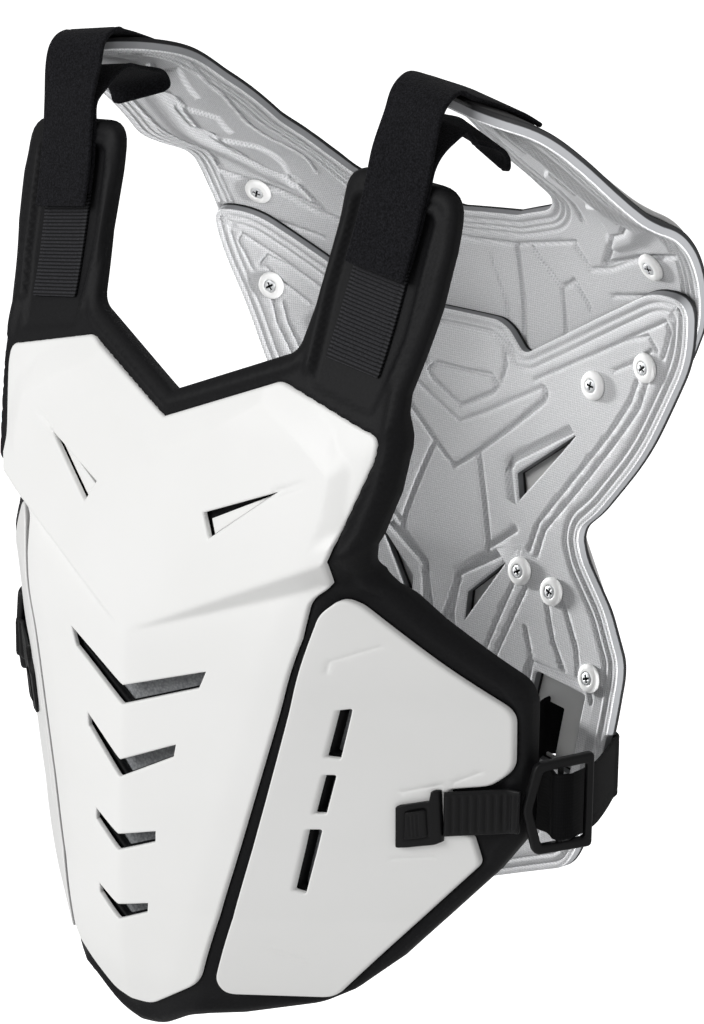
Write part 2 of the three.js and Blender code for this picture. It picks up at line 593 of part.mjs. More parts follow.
// Screw caps with recessed screws on the inner face of the back: columns name, x, run, layer height.
const SCREWS = [
  ['yoke', 135, 5, YOKE_BOTTOM], ['wing_outer', 132, -50, 0], ['wing_inner', 94, -69, 0],
  ['mid_inner', 57, -183, 0], ['mid_outer', 82, -188, 0], ['lower', 117, -227, 0],
];
const CAP_PROFILE = [[0, 0], [7.5, 0], [7.5, 1.4], [5.8, 3.6], [3.4, 4.2], [3.1, 1.6], [0, 1.6]];
const SCREW_PROFILE = [[0, 1.9], [2.7, 1.9], [2.7, 3.0], [1.6, 3.4], [0, 3.4]];
const lathe = (profile) => {
  const points = profile.map(([r, h]) => new THREE.Vector2(r, h));
  return fromSolid(toSolid(new THREE.LatheGeometry(points, 10)));
};
for (const [place, x, t, layer] of SCREWS) {
  const foot = layOn(back, -x, t, layer, false);
  const inward = layOn(back, -x, t, layer - 10, false).sub(foot).normalize();
  let rise = 0;
  for (let k = 0; k < 12; k += 1) {
    const [du, dt] = [7.6 * Math.cos((k * Math.PI) / 6), 7.6 * Math.sin((k * Math.PI) / 6)];
    rise = Math.max(rise, layOn(back, du - x, t + dt, layer, false).sub(foot).dot(inward));
  }
  foot.addScaledVector(inward, rise + GAP / 2);
  const turn = new THREE.Quaternion().setFromUnitVectors(new THREE.Vector3(0, 1, 0), inward);
  const seat = new THREE.Matrix4().compose(foot, turn, new THREE.Vector3(1, 1, 1));
  addPair(`screw_cap_${place}`, lathe(CAP_PROFILE).applyMatrix4(seat), 'white_cap');
  addPair(`screw_${place}`, lathe(SCREW_PROFILE).applyMatrix4(seat), 'screw_steel');
}

export default vest;
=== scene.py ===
import bpy
import numpy as np
from mathutils import Matrix
from mathutils.geometry import delaunay_2d_cdt


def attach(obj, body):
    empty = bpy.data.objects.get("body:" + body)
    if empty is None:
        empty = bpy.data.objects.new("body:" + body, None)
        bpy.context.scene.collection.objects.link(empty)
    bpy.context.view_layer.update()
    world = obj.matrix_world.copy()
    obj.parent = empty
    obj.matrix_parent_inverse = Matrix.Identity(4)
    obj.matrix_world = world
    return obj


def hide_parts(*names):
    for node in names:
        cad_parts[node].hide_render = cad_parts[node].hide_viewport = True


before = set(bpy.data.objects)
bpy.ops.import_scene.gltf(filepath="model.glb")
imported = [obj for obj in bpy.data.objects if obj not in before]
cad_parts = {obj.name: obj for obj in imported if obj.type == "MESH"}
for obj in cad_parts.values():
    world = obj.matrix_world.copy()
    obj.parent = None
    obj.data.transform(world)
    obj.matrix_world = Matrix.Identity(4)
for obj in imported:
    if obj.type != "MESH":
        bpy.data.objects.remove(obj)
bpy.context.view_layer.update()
scene = bpy.context.scene


# Studio: a long lens above and to the wearer's left, a pale floor well below the hanging vest, a soft light
# ahead, lamps at both sides that rake across the cloth of the back, two behind, and a dim even surround.
MM = 0.001
PHOTO_HEIGHT_PX = 1024
FOCAL_PX = 2700
SENSOR_MM = 36.0
CAMERA_PLACE = (891.5, -1036.7, 263.2)
CAMERA_AZIMUTH = 40.0
CAMERA_ELEVATION = 19.65
SURROUND = 0.38
FLOOR_Z, FLOOR_HALF = -0.75, 12
# The floor's glow grows to its full strength over this stretch behind the vest, in metres.
GLOW_FROM, GLOW_TO, GLOW = -0.3, 0.4, 0.9


def linear(hex_colour):
    """Linear red, green, blue and alpha of an sRGB hex colour."""
    s = np.array([int(hex_colour[k : k + 2], 16) for k in (1, 3, 5)]) / 255
    rgb = np.where(s <= 0.04045, s / 12.92, ((s + 0.055) / 1.055) ** 2.4)
    return (*rgb.tolist(), 1.0)


def add(tree, kind, settings=(), **inputs):
    """A shader node of that kind with its settings; an input, by name or as i and its number, is a value or
    the socket that feeds it."""
    node = tree.nodes.new("ShaderNode" + kind)
    for key, value in dict(settings).items():
        setattr(node, key, value)
    for key, value in inputs.items():
        numbered = key[0] == "i" and key[1:].isdigit()
        socket = node.inputs[int(key[1:]) if numbered else key.replace("_", " ")]
        if isinstance(value, bpy.types.NodeSocket):
            tree.links.new(value, socket)
        else:
            socket.default_value = value
    return node


def material(name, roughness, **inputs):
    """An empty material of that name with one principled shader; returns it, its tree and its shader."""
    made = bpy.data.materials.new(name)
    made.use_nodes = True
    tree = made.node_tree
    shader = tree.nodes["Principled BSDF"]
    shader.inputs["Roughness"].default_value = roughness
    for key, value in inputs.items():
        shader.inputs[key.replace("_", " ")].default_value = value
    return made, tree, shader


def maths(tree, operation, first, second):
    """One sum on two values or sockets."""
    return add(tree, "Math", {"operation": operation}, i0=first, i1=second).outputs[0]


def ramp(tree, value, **limits):
    """A value carried from one range to another and held within it."""
    return add(tree, "MapRange", Value=value, **limits).outputs["Result"]


def turn(azimuth, elevation):
    """Axes right, up and back of a viewer at that azimuth and elevation in degrees."""
    a, e = np.radians(azimuth), np.radians(elevation)
    back = np.array([np.sin(a) * np.cos(e), -np.cos(a) * np.cos(e), np.sin(e)])
    right = np.array([np.cos(a), np.sin(a), 0.0])
    return np.stack([right, np.cross(back, right), back], 1)


def stand(thing, place, axes):
    """Puts a camera or light at a place in metres with those axes."""
    matrix = np.eye(4)
    matrix[:3, :3] = axes
    matrix[:3, 3] = place
    holder = bpy.data.objects.new(thing.name, thing)
    holder.matrix_world = Matrix(matrix.tolist())
    scene.collection.objects.link(holder)
    return holder


lens = bpy.data.cameras.new("camera")
lens.sensor_width = SENSOR_MM
lens.lens = SENSOR_MM * FOCAL_PX / PHOTO_HEIGHT_PX
lens.clip_start = 0.05
lens.clip_end = 50.0
scene.camera = stand(lens, np.array(CAMERA_PLACE) * MM, turn(CAMERA_AZIMUTH, CAMERA_ELEVATION))

# Lamps: columns name, azimuth, elevation, distance (m), size (m), watts, beam (degrees), aim (m), what it lights.
MIDDLE, WIDE = (0.0, 0.0, -0.2), 180.0
LAMPS = [
    ("key", -14.0, 28.0, 2.6, 1.3, 36.5, WIDE, MIDDLE, "all"),
    ("inner", 28.0, 2.0, 2.6, 0.7, 0.16, 16.0, (0.05, 0.06, -0.03), "back"),
    ("left_side", 90.0, 3.0, 2.6, 0.5, 135.0, WIDE, MIDDLE, "back"),
    ("right_side", -90.0, 3.0, 2.6, 0.5, 185.0, WIDE, MIDDLE, "back"),
    ("behind", 200.0, 35.0, 2.8, 1.6, 8.0, WIDE, MIDDLE, "all"),
    ("outer", 242.0, 40.0, 2.8, 0.5, 50.0, WIDE, MIDDLE, "plates"),
]
receivers = {lights: bpy.data.collections.new(f"{lights}_receivers") for lights in ("back", "plates")}
for lamp_name, azimuth, elevation, distance_m, size, watts, beam, aim, lights in LAMPS:
    lamp = bpy.data.lights.new(lamp_name, "AREA")
    lamp.size = size
    lamp.energy = watts
    lamp.spread = np.radians(beam)
    axes = turn(azimuth, elevation)
    holder = stand(lamp, axes[:, 2] * distance_m + np.array(aim), axes)
    if lights in receivers:
        holder.light_linking.receiver_collection = receivers[lights]

world = bpy.data.worlds.new("even_surround")
world.use_nodes = True
world.node_tree.nodes["Background"].inputs["Color"].default_value = linear("#ffffff")
world.node_tree.nodes["Background"].inputs["Strength"].default_value = SURROUND
scene.world = world
scene.view_settings.view_transform = "Standard"

floor_mesh = bpy.data.meshes.new("floor")
floor_corners = [(x * FLOOR_HALF, y * FLOOR_HALF, FLOOR_Z) for x, y in ((-1, -1), (1, -1), (1, 1), (-1, 1))]
floor_mesh.from_pydata(floor_corners, [], [(0, 1, 2, 3)])
# White paper: it glows to the eye where it lies behind the vest, so that it fades to pure white.
floor_mat, tree, shader = material("pale_paper", 0.9)
shader.inputs["Base Color"].default_value = linear("#f6f6f6")
shader.inputs["Emission Color"].default_value = linear("#ffffff")
AWAY = (-np.sin(np.radians(CAMERA_AZIMUTH)), np.cos(np.radians(CAMERA_AZIMUTH)), 0.0)
place = add(tree, "TexCoord").outputs["Object"]
far = add(tree, "VectorMath", {"operation": "DOT_PRODUCT"}, i0=place, i1=AWAY).outputs["Value"]
glow = ramp(tree, far, From_Min=GLOW_FROM, From_Max=GLOW_TO, To_Max=GLOW)
seen = add(tree, "LightPath").outputs["Is Camera Ray"]
tree.links.new(maths(tree, "MULTIPLY", glow, seen), shader.inputs["Emission Strength"])
floor_mesh.materials.append(floor_mat)
floor = bpy.data.objects.new("floor", floor_mesh)
scene.collection.objects.link(floor)


# Front liner: one thick sheet of black moulded foam that carries the chest plates, with two shoulder tabs.
# Its bare margin is pressed into a rounded bead, and slots run through it under the slots of the plates.
PLATE = 3.0
GAP = 0.3
LINER_TOP = -PLATE - GAP
LINER_THICK = 7.0
LINER_BOTTOM = LINER_TOP - LINER_THICK
TAB_FLOOR = LINER_TOP - 1.2
VENT_FLOOR = LINER_TOP - 3.4

# Front form, rows of depth below the shoulders and value: centre line y, edge of the chest plate,
# slope beside the keel and slope of the flanks.
CENTRE_Y = [
    (-40, -49), (-10, -67), (40, -79.5), (100, -104.5), (130, -117.5), (142, -122), (200, -140), (245, -152),
    (275, -154), (315, -157.5), (356, -160.5), (395, -162.3), (430, -160), (453, -154.5), (490, -145),
]
EDGE_X = [(60, 175), (80, 160), (131, 124), (207, 107.5), (213.5, 99.8), (322.8, 71.5), (431, 43.2), (472, 32)]
KEEL_SLOPE = [(205, 0.22), (260, 0.232), (301, 0.255), (350, 0.28), (391, 0.28), (431, 0.185), (472, 0.1)]
SIDE_SLOPE = [(210, 0.815), (275, 0.815), (359, 0.8), (439, 0.78)]
CHEST_SLOPE, CHEST_FADE = 0.075, 0.6
BEVEL_SLOPE, BEVEL_WIDTH, FLANK_OFF = 0.1, 13, 3
RIDGE_ROUND = 3.0
# The chevron step: height at the centre line and rise outward, at its top and at its foot.
STEP_TOP, STEP_FOOT = (-245, 0.5), (-246, 0.39)
# Heights between which the chest's slope fades and the bevel and the flanks set in.
CHEST_FADES, BEVEL_BEGINS, FLANK_BEGINS = (-100, -40), (-90, -120), (-70, -115)


def between(rows, s):
    """Straight lines through rows of position and value."""
    rows = np.array(rows, float)
    return np.interp(s, rows[:, 0], rows[:, 1])


def through(rows, s):
    """A smooth curve through rows of position and value: cubic pieces whose slope at a row is that
    of the line between its two neighbours."""
    rows = np.array(rows, float)
    at, value = rows[:, 0], rows[:, 1]
    row = np.arange(len(at))
    low, high = np.maximum(row - 1, 0), np.minimum(row + 1, len(at) - 1)
    slope = (value[high] - value[low]) / (at[high] - at[low])
    k = np.searchsorted(at[1:-1], s, side="left")
    span = at[k + 1] - at[k]
    f = np.clip((s - at[k]) / span, 0, 1)
    start = (2 * f**3 - 3 * f**2 + 1) * value[k] + (f**3 - 2 * f**2 + f) * slope[k] * span
    return start + (3 * f**2 - 2 * f**3) * value[k + 1] + (f**3 - f**2) * slope[k + 1] * span


def ease(s, a, b):
    """0 at a, 1 at b, with no slope at either end."""
    f = np.clip((s - a) / (b - a), 0, 1)
    return f * f * (3 - 2 * f)


def fold(d, r):
    """0 before a fold line and d past it, rounded over a length r."""
    return 0.5 * (d + np.sqrt(d * d + r * r))


def front_y(x, z):
    """Depth of the front: the centre line, plus a keel slope below the chevron step and a chest slope
    above it, a bevel just inside the plate's edge and the flank slope just outside it."""
    ax = np.sqrt(x * x + RIDGE_ROUND**2) - RIDGE_ROUND
    step_top, step_foot = (at + rise * ax for at, rise in (STEP_TOP, STEP_FOOT))
    upper = np.clip((z - step_foot) / (step_top - step_foot + 1e-6), 0, 1)
    chest = CHEST_SLOPE * (1 - CHEST_FADE * ease(z, *CHEST_FADES))
    keel = between(KEEL_SLOPE, -z) * (1 - upper) + chest * upper
    bevel = BEVEL_SLOPE * ease(z, *BEVEL_BEGINS)
    out = np.abs(x) - between(EDGE_X, -z)
    flank = ease(z, *FLANK_BEGINS) * (between(SIDE_SLOPE, -z) - keel - bevel)
    edge_bend, flank_bend = fold(out + BEVEL_WIDTH, RIDGE_ROUND), fold(out - FLANK_OFF, RIDGE_ROUND)
    return through(CENTRE_Y, -z) + keel * ax + bevel * edge_bend + flank * flank_bend


def on_front(flat, w):
    """Points at height w over the front, for rows of x and z. Layers are measured square to the
    surface but laid along -Y, so that their outlines stay in register."""
    x, z = flat[:, 0], flat[:, 1]
    reach, most = 0.8, 1.3
    slope_x = (front_y(x + reach, z) - front_y(x - reach, z)) / (2 * reach)
    slope_z = (front_y(x, z + reach) - front_y(x, z - reach)) / (2 * reach)
    stretch = np.minimum(most, np.sqrt(1 + slope_x**2 + slope_z**2))
    return np.stack([x, front_y(x, z) - w * stretch, z], 1)


def mirrored(half):
    """A whole outline from the rows of its left half, which run from the top of the centre line down."""
    return half + [(-x, v, r) for x, v, r in reversed(half) if x > 0.01]


def flip(rows):
    """The same outline on the other side."""
    return [(-x, v, *rest) for x, v, *rest in reversed(rows)]


def corners(rows, pieces=7):
    """Closed path from rows of x, v and corner radius: each corner is a parabola that touches its two
    sides at the radius."""
    rows = np.array(rows, float)
    here = rows[:, :2]
    before, after = np.roll(here, 1, 0) - here, np.roll(here, -1, 0) - here
    long_b, long_a = np.linalg.norm(before, axis=1), np.linalg.norm(after, axis=1)
    reach = np.minimum(rows[:, 2], 0.49 * np.minimum(long_b, long_a))[:, None]
    start, end = here + before / long_b[:, None] * reach, here + after / long_a[:, None] * reach
    f = np.linspace(0, 1, pieces)[None, :, None]
    path = ((1 - f) ** 2 * start[:, None] + 2 * f * (1 - f) * here[:, None] + f**2 * end[:, None]).reshape(-1, 2)
    return path[np.linalg.norm(path - np.roll(path, 1, 0), axis=1) > 1e-6]


def unit(rows):
    """Rows scaled to a length of 1."""
    return rows / np.linalg.norm(rows, axis=1)[:, None]


def cuts(side, step, start=0.0):
    """Sides cut into equal pieces no longer than step: the side of each piece and its share of the way."""
    count = np.maximum(1, np.ceil(np.linalg.norm(side, axis=1) / step)).astype(int)
    k = np.repeat(np.arange(len(side)), count)
    return k, (np.arange(count.sum()) - np.repeat(np.cumsum(count) - count, count) + start)[:, None] / count[k, None]


def walk(path, step):
    """A closed path with each side cut into pieces."""
    side = np.roll(path, -1, 0) - path
    k, f = cuts(side, step)
    return path[k] + side[k] * f


def wound(path, way):
    """The path turned so that its signed area has the sign of way; its body then lies to its left."""
    nxt = np.roll(path, -1, 0)
    area = np.sum(path[:, 0] * nxt[:, 1] - nxt[:, 0] * path[:, 1])
    return path if area * way > 0 else path[::-1]


def inset(path, depth, room=None):
    """A closed path moved to its left by depth, along the bisector of the two sides at each point, by no
    more than its room."""
    side = np.roll(path, -1, 0) - path
    left = unit(np.stack([-side[:, 1], side[:, 0]], 1))
    both = left + np.roll(left, 1, 0)
    size = np.linalg.norm(both, axis=1)
    sharpest = 1.1
    far = depth * 2 / np.maximum(size, sharpest)
    if room is not None:
        far = np.minimum(far, room)
    return path + both / np.maximum(size, 1e-9)[:, None] * far[:, None]


def room_within(path, everything):
    """How far each point of a path may move to its left: most of the radius of the largest circle that
    touches the path there and holds no other point of the outlines."""
    to_left = unit(inset(path, 1.0) - path)
    found, blocks, most = [], 8, 0.75
    for block, way in zip(np.array_split(path, blocks), np.array_split(to_left, blocks)):
        to = everything[None] - block[:, None]
        ahead = np.sum(to * way[:, None], 2)
        radius = np.sum(to * to, 2) / (2 * np.maximum(ahead, 1e-9))
        found.append(np.where(ahead > 1e-6, radius, np.inf).min(1))
    return most * np.concatenate(found)


def in_blocks(points, sides):
    """The points in blocks that are small enough to be held against every side at once."""
    most = 2000000
    return np.array_split(points, max(1, len(points) * sides // most))


def distance(points, path, closed=True):
    """Distance of each point to the nearest side of a path."""
    path = np.asarray(path, float)[:, :2]
    a, b = (path, np.roll(path, -1, 0)) if closed else (path[:-1], path[1:])
    side = b - a
    size = np.maximum(np.sum(side * side, 1), 1e-9)
    found = []
    for block in in_blocks(points, len(a)):
        to = block[:, None] - a[None]
        f = np.clip(np.sum(to * side[None], 2) / size[None], 0, 1)
        found.append(np.linalg.norm(to - f[..., None] * side[None], axis=2).min(1))
    return np.concatenate(found)


def inside(points, path):
    """True for the points within a closed path: a ray along +x crosses it an odd number of times."""
    path = np.asarray(path, float)[:, :2]
    a, b = path, np.roll(path, -1, 0)
    found = []
    for block in in_blocks(points, len(a)):
        x, v = block[:, 0][:, None], block[:, 1][:, None]
        spans = (a[:, 1] > v) != (b[:, 1] > v)
        climb = np.where(b[:, 1] == a[:, 1], 1e-9, b[:, 1] - a[:, 1])
        crossing = a[:, 0] + (v - a[:, 1]) * (b[:, 0] - a[:, 0]) / climb
        found.append(np.sum(spans & (x < crossing), 1) % 2 == 1)
    return np.concatenate(found)


# Seed rows beside a pressed line, as shares of its half width, their spacing along it and the cell in
# which only one seed stays. Lattice rows lie this share of the pitch apart.
SEED_ROWS = np.array([-1.6, -1.2, -0.8, -0.4, 0, 0.4, 0.8, 1.2, 1.6])
SEED_STEP, SEED_CELL = 1.2, 0.55
ROW_SHARE = 0.866
# The lattice keeps these shares of its pitch clear of seeds and rims, and seeds keep that far off a rim.
LATTICE_OFF_SEEDS, LATTICE_OFF_RIM, SEEDS_OFF_RIM = 0.4, 0.7, 0.5
# A rim's roundings take this part of the share, and the first ring of a face lies so far within it.
RIM_SHARE, RIM_HOLD = 0.4, 0.5


def seeds(line, half):
    """Points in rows along a line, so that the triangles follow its walls."""
    line = np.asarray(line, float)
    side = np.diff(line, axis=0)
    k, f = cuts(side, SEED_STEP, 0.5)
    middle = line[k] + side[k] * f
    left = unit(np.stack([-side[k, 1], side[k, 0]], 1))
    return (middle[:, None] + left[:, None] * (SEED_ROWS * half)[None, :, None]).reshape(-1, 2)


def fill(paths, margin, loops, pitch, lines):
    """Triangles between closed loops, the first one outside: a lattice of points pitch apart, and seed
    rows along the lines, joined to the loops by Delaunay triangles. The loops lie a margin inside the
    paths, and the lattice keeps clear of them. Returns the points added and the triangles."""
    low, high = paths[0].min(0), paths[0].max(0)
    rows = np.arange(low[1], high[1], pitch * ROW_SHARE)
    columns = np.arange(low[0], high[0], pitch)
    lattice = np.stack(np.meshgrid(columns, rows), -1)
    lattice[1::2, :, 0] += pitch / 2
    lattice = lattice.reshape(-1, 2)
    added = np.concatenate([np.zeros((0, 2)), *(seeds(line, half) for half, line in lines)])
    cells = np.unique(np.round(added / SEED_CELL).astype(int), axis=0, return_index=True)[1]
    added = added[np.sort(cells)]
    for half, line in lines:
        clear = SEED_ROWS[-1] * half + LATTICE_OFF_SEEDS * pitch
        lattice = lattice[distance(lattice, line, closed=False) > clear]
    for k, path in enumerate(paths):
        clear = margin + LATTICE_OFF_RIM * pitch
        lattice = lattice[(inside(lattice, path) == (k == 0)) & (distance(lattice, path) > clear)]
        added = added[(inside(added, path) == (k == 0)) & (distance(added, path) > margin + SEEDS_OFF_RIM)]
    added = np.concatenate([added, lattice])
    points = np.concatenate([*loops, added])
    starts = np.cumsum([0] + [len(loop) for loop in loops])
    rims = [np.arange(s, e) for s, e in zip(starts[:-1], starts[1:])]
    edges = np.concatenate([np.stack([rim, np.roll(rim, -1)], 1) for rim in rims])
    made = delaunay_2d_cdt(points.tolist(), edges.tolist(), [], 1, 1e-7)
    faces = np.array(made[2])
    bridge = (faces < starts[-1]).all(1)
    middle = points[faces[bridge]].mean(1)
    keep = np.ones(len(faces), bool)
    keep[bridge] = np.all([inside(middle, loop) == (k == 0) for k, loop in enumerate(loops)], 0)
    faces = faces[keep]
    p, q, r = (points[faces[:, k]] for k in range(3))
    area = (q[:, 0] - p[:, 0]) * (r[:, 1] - p[:, 1]) - (r[:, 0] - p[:, 0]) * (q[:, 1] - p[:, 1])
    return added, np.where((area < 0)[:, None], faces[:, ::-1], faces)


def panel(lay, outline, holes, top, bottom, edges, pitches, side_step=1.8, border=(0, 0), lines=()):
    """A closed sheet: its outline and holes are carried round as a rim of rings, rounded by edges[0] at
    the top and edges[1] at the bottom, with border rings a millimetre apart inside that, and the two faces
    are filled, the finer one with seed rows along the lines. top and bottom give the heights at flat
    points, and lay puts them in space. Returns points, faces, flat, and share: 1 at the top, 0 below."""
    paths = [corners(rows) for rows in (outline, *holes)]
    loops = [wound(walk(path, side_step), -1 if k else 1) for k, path in enumerate(paths)]
    everything = np.concatenate(loops)
    arc = np.radians([0, 22.5, 45, 67.5, 90])
    sink, drop = 1 - np.sin(arc), 1 - np.cos(arc)
    above = [(edges[0] + RIM_HOLD + k, 0.0, 1, 1.0) for k in range(border[0], -1, -1)]
    above += [(edges[0] * i, -edges[0] * d, 1, 1 - RIM_SHARE * d) for i, d in zip(sink, drop)]
    below = [(edges[1] * i, edges[1] * d, 0, RIM_SHARE * d) for i, d in zip(sink[::-1], drop[::-1])]
    below += [(edges[1] + RIM_HOLD + k, 0.0, 0, 0.0) for k in range(border[1] + 1)]
    rings = above + below
    flats, heights, faces, shares = [], [], [], []
    first, last, count = [], [], 0
    for loop in loops:
        n = len(loop)
        here = np.arange(n)
        room = room_within(loop, everything)
        for k, (depth, rise, is_top, share) in enumerate(rings):
            flat = inset(loop, depth, room)
            flats.append(flat)
            heights.append((top if is_top else bottom)(flat) + rise)
            shares.append(np.full(n, share))
            if k:
                a, b = count + (k - 1) * n + here, count + k * n + here
                faces += [np.stack([a, b, np.roll(b, -1)], 1), np.stack([a, np.roll(b, -1), np.roll(a, -1)], 1)]
        first.append(count + here)
        last.append(count + (len(rings) - 1) * n + here)
        count += n * len(rings)
    flat_rims = np.concatenate(flats)
    for side, (ring, height) in enumerate(((first, top), (last, bottom))):
        finer = pitches[side] <= pitches[1 - side]
        margin = edges[side] + RIM_HOLD + border[side]
        added, triangles = fill(paths, margin, [flat_rims[r] for r in ring], pitches[side], lines if finer else ())
        triangles = np.concatenate([*ring, count + np.arange(len(added))])[triangles]
        faces.append(triangles[:, ::-1] if side else triangles)
        flats.append(added)
        heights.append(height(added))
        shares.append(np.full(len(added), 1.0 - side))
        count += len(added)
    flat = np.concatenate(flats)
    return lay(flat, np.concatenate(heights)), np.concatenate(faces), flat, np.concatenate(shares)


def outward(points, faces):
    """The faces turned so that the closed body's volume is positive."""
    a, b, c = (points[faces[:, k]] for k in range(3))
    return faces if np.sum(a * np.cross(b, c)) > 0 else faces[:, ::-1]


def put(name, body, finish, slot, *nodes, mirror=False):
    """Makes a piece of a closed body (points, faces, flat map, share), gives it its finish and hides the solids
    that it stands for. The slot is not used. The flat map becomes a UV map in metres."""
    points, faces, flat, share = body
    points = points * (-1, 1, 1) if mirror else points
    faces = outward(points, faces).astype(np.int32)
    mesh = bpy.data.meshes.new(name)
    mesh.vertices.add(len(points))
    mesh.vertices.foreach_set("co", (points * MM).astype(np.float32).ravel())
    mesh.loops.add(faces.size)
    mesh.loops.foreach_set("vertex_index", faces.ravel())
    mesh.polygons.add(len(faces))
    mesh.polygons.foreach_set("loop_start", np.arange(0, faces.size, 3, dtype=np.int32))
    mesh.update(calc_edges=True)
    mesh.uv_layers.new(name="flat").data.foreach_set("uv", (flat[faces.ravel()] * MM).astype(np.float32).ravel())
    mesh.attributes.new("share", "FLOAT", "POINT").data.foreach_set("value", share.astype(np.float32))
    mesh.shade_smooth()
    mesh.materials.append(finish)
    piece = bpy.data.objects.new(name, mesh)
    scene.collection.objects.link(piece)
    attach(piece, "root")
    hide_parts(*nodes)
    if nodes[0].startswith(("back", "screw")):
        receivers["plates" if nodes[0].endswith("plate") else "back"].objects.link(piece)
    return piece


# Outlines of the front: rows of x, height and corner radius, a mirrored one down its left half.
LINER = mirrored([
    (0, -130, 0), (68, -101, 6), (73.5, -67, 0), (76, -13, 13), (142, -18, 14), (143, -46, 0), (141, -71, 0),
    (136, -98, 8), (133.5, -111, 0), (135, -137, 0), (133, -158, 0), (128, -179, 0), (120, -198, 7),
    (145, -226, 0), (178, -258, 8), (180, -268, 0), (178, -315, 0), (177, -342, 8), (164, -364, 0),
    (125, -415, 0), (105, -435, 0), (91, -444, 5), (58, -452, 0), (36, -454, 8), (14, -468, 8), (0, -470, 0),
])
CHEST_PLATE = mirrored([
    (0, -142, 0), (64, -115, 3), (125, -131, 6), (125, -141, 4), (106, -207, 4), (97, -215, 4), (95, -234, 0),
    (72, -323, 0), (44, -431, 7), (13, -453, 5), (0, -454, 0),
])
RIB_PLATE = [
    (102, -221, 4), (110, -213, 6), (117, -216, 5), (175, -273, 6), (174, -305, 8), (165, -313.5, 3),
    (149, -315.5, 2), (150, -339, 2), (157, -342, 2), (160, -358, 3), (99, -438, 5), (55, -437, 6),
    (52, -428, 4), (78, -322, 0),
]
# Chevron slots: columns apex top, apex foot, tip x, tip, end x, end, as depths below the shoulders.
CHEVRON_SLOTS = [
    mirrored([(0, -up, 0), (tip_x, -tip, 0), (end_x, -end, 0), (0, -low, 0)])
    for up, low, tip_x, tip, end_x, end in [
        (275.5, 285.5, 47, 259, 43, 268.5), (315.3, 324.5, 31, 301, 30, 307.5),
        (356, 364.7, 21, 350, 21, 355.8), (395.4, 403.8, 17.3, 390.8, 17, 395.8),
    ]
]
RIB_SLOTS = [
    [(108, -272, 1), (114, -271, 1), (108, -299, 1), (102, -298, 1)],
    [(101, -308, 1), (106, -308, 1), (101, -330, 1), (96, -330, 1)],
    [(93, -339, 1), (99, -339, 1), (91, -376, 1), (86, -374, 1)],
]
VENT = [(77, -164, 0), (43, -192, 0), (37, -181, 0)]
TAB_RECESS = [(80, -115, 3), (119, -123, 3), (127, -85, 0), (131, -30, 4), (84, -26, 4), (79, -70, 0)]
BEAD_AT = 5.0
BEAD_HALF = 3.0
BEAD_RISE = 2.1
PLATE_BED = 2.4
TAB_LIP = 2.6
# Distances over which the foam sinks to a plate's bed or a tab's floor, rises to the bare bead, and rises
# to the lip round a tab and falls from it; heights between which that lip sets in.
BED_WALL, FLOOR_WALL, BARE_FROM = (0.3, 2.0), (0, 1.6), (1, 4)
LIP_UP, LIP_DOWN, LIP_BEGINS = (0, 1.4), (3.0, 8.0), (-112, -104)


def left_half(flat):
    """Flat points folded on to the left half."""
    return np.abs(flat) * (1, 0) + flat * (0, 1)


def liner_top(flat):
    """Foam face: level, with a bead that follows the edge where no plate lies on it, a bed under each
    plate, a sunken floor in each shoulder tab and a pocket under each triangular vent."""
    half = left_half(flat)
    bare, under = np.full(len(flat), 99.0), np.zeros(len(flat))
    for plate in (CHEST_PLATE, RIB_PLATE):
        path = corners(plate)
        within, away = inside(half, path), distance(half, path)
        bare = np.minimum(bare, np.where(within, 0, away))
        under = np.maximum(under, np.where(within, ease(away, *BED_WALL), 0))
    edge = distance(flat, corners(LINER))
    bead = BEAD_RISE * np.exp(-(((edge - BEAD_AT) / BEAD_HALF) ** 2)) * ease(bare, *BARE_FROM)
    recess = corners(TAB_RECESS)
    within, away = inside(half, recess), distance(half, recess)
    sunk = ease(np.where(within, away, 0), *FLOOR_WALL)
    lip = np.where(within, 0, TAB_LIP * ease(away, *LIP_UP) * (1 - ease(away, *LIP_DOWN)))
    bead = np.maximum(bead, lip * ease(half[:, 1], *LIP_BEGINS))
    face = LINER_TOP + bead * (1 - sunk) + (TAB_FLOOR - LINER_TOP) * sunk - PLATE_BED * under
    return np.where(inside(half, corners(VENT)), VENT_FLOOR, face)


def level(height):
    """A flat face at that height."""
    return lambda flat: np.full(len(flat), float(height))


def grains(tree, size_mm, detail, **inputs):
    """Noise with grains of that size, in the piece's own coordinates."""
    place = add(tree, "TexCoord").outputs["Object"]
    return add(tree, "TexNoise", Vector=place, Scale=1000 / size_mm, Detail=detail, **inputs).outputs["Fac"]


def blend(tree, share, low, high):
    """A colour between two, each an sRGB hex colour or a socket."""
    low, high = (linear(end) if isinstance(end, str) else end for end in (low, high))
    return add(tree, "Mix", {"data_type": "RGBA"}, Factor=share, i6=low, i7=high).outputs[2]


def dress(tree, shader, tone, height=None, strength=0.0, deep_mm=0.0):
    """Feeds a shader its colour and the dents of a height, where one is given."""
    tree.links.new(tone, shader.inputs["Base Color"])
    if height is not None:
        dent = add(tree, "Bump", Strength=strength, Distance=deep_mm * MM, Height=height).outputs["Normal"]
        tree.links.new(dent, shader.inputs["Normal"])


# Black moulded EVA foam: matt, slightly grey where light grazes it, with a fine pebbled skin.
foam, tree, shader = material("moulded_eva_foam_black", 0.55, Specular_IOR_Level=0.15)
pebbles = grains(tree, size_mm=1.4, detail=2.0)
dress(tree, shader, blend(tree, pebbles, "#0f0f10", "#19191b"), pebbles, strength=0.25, deep_mm=0.4)

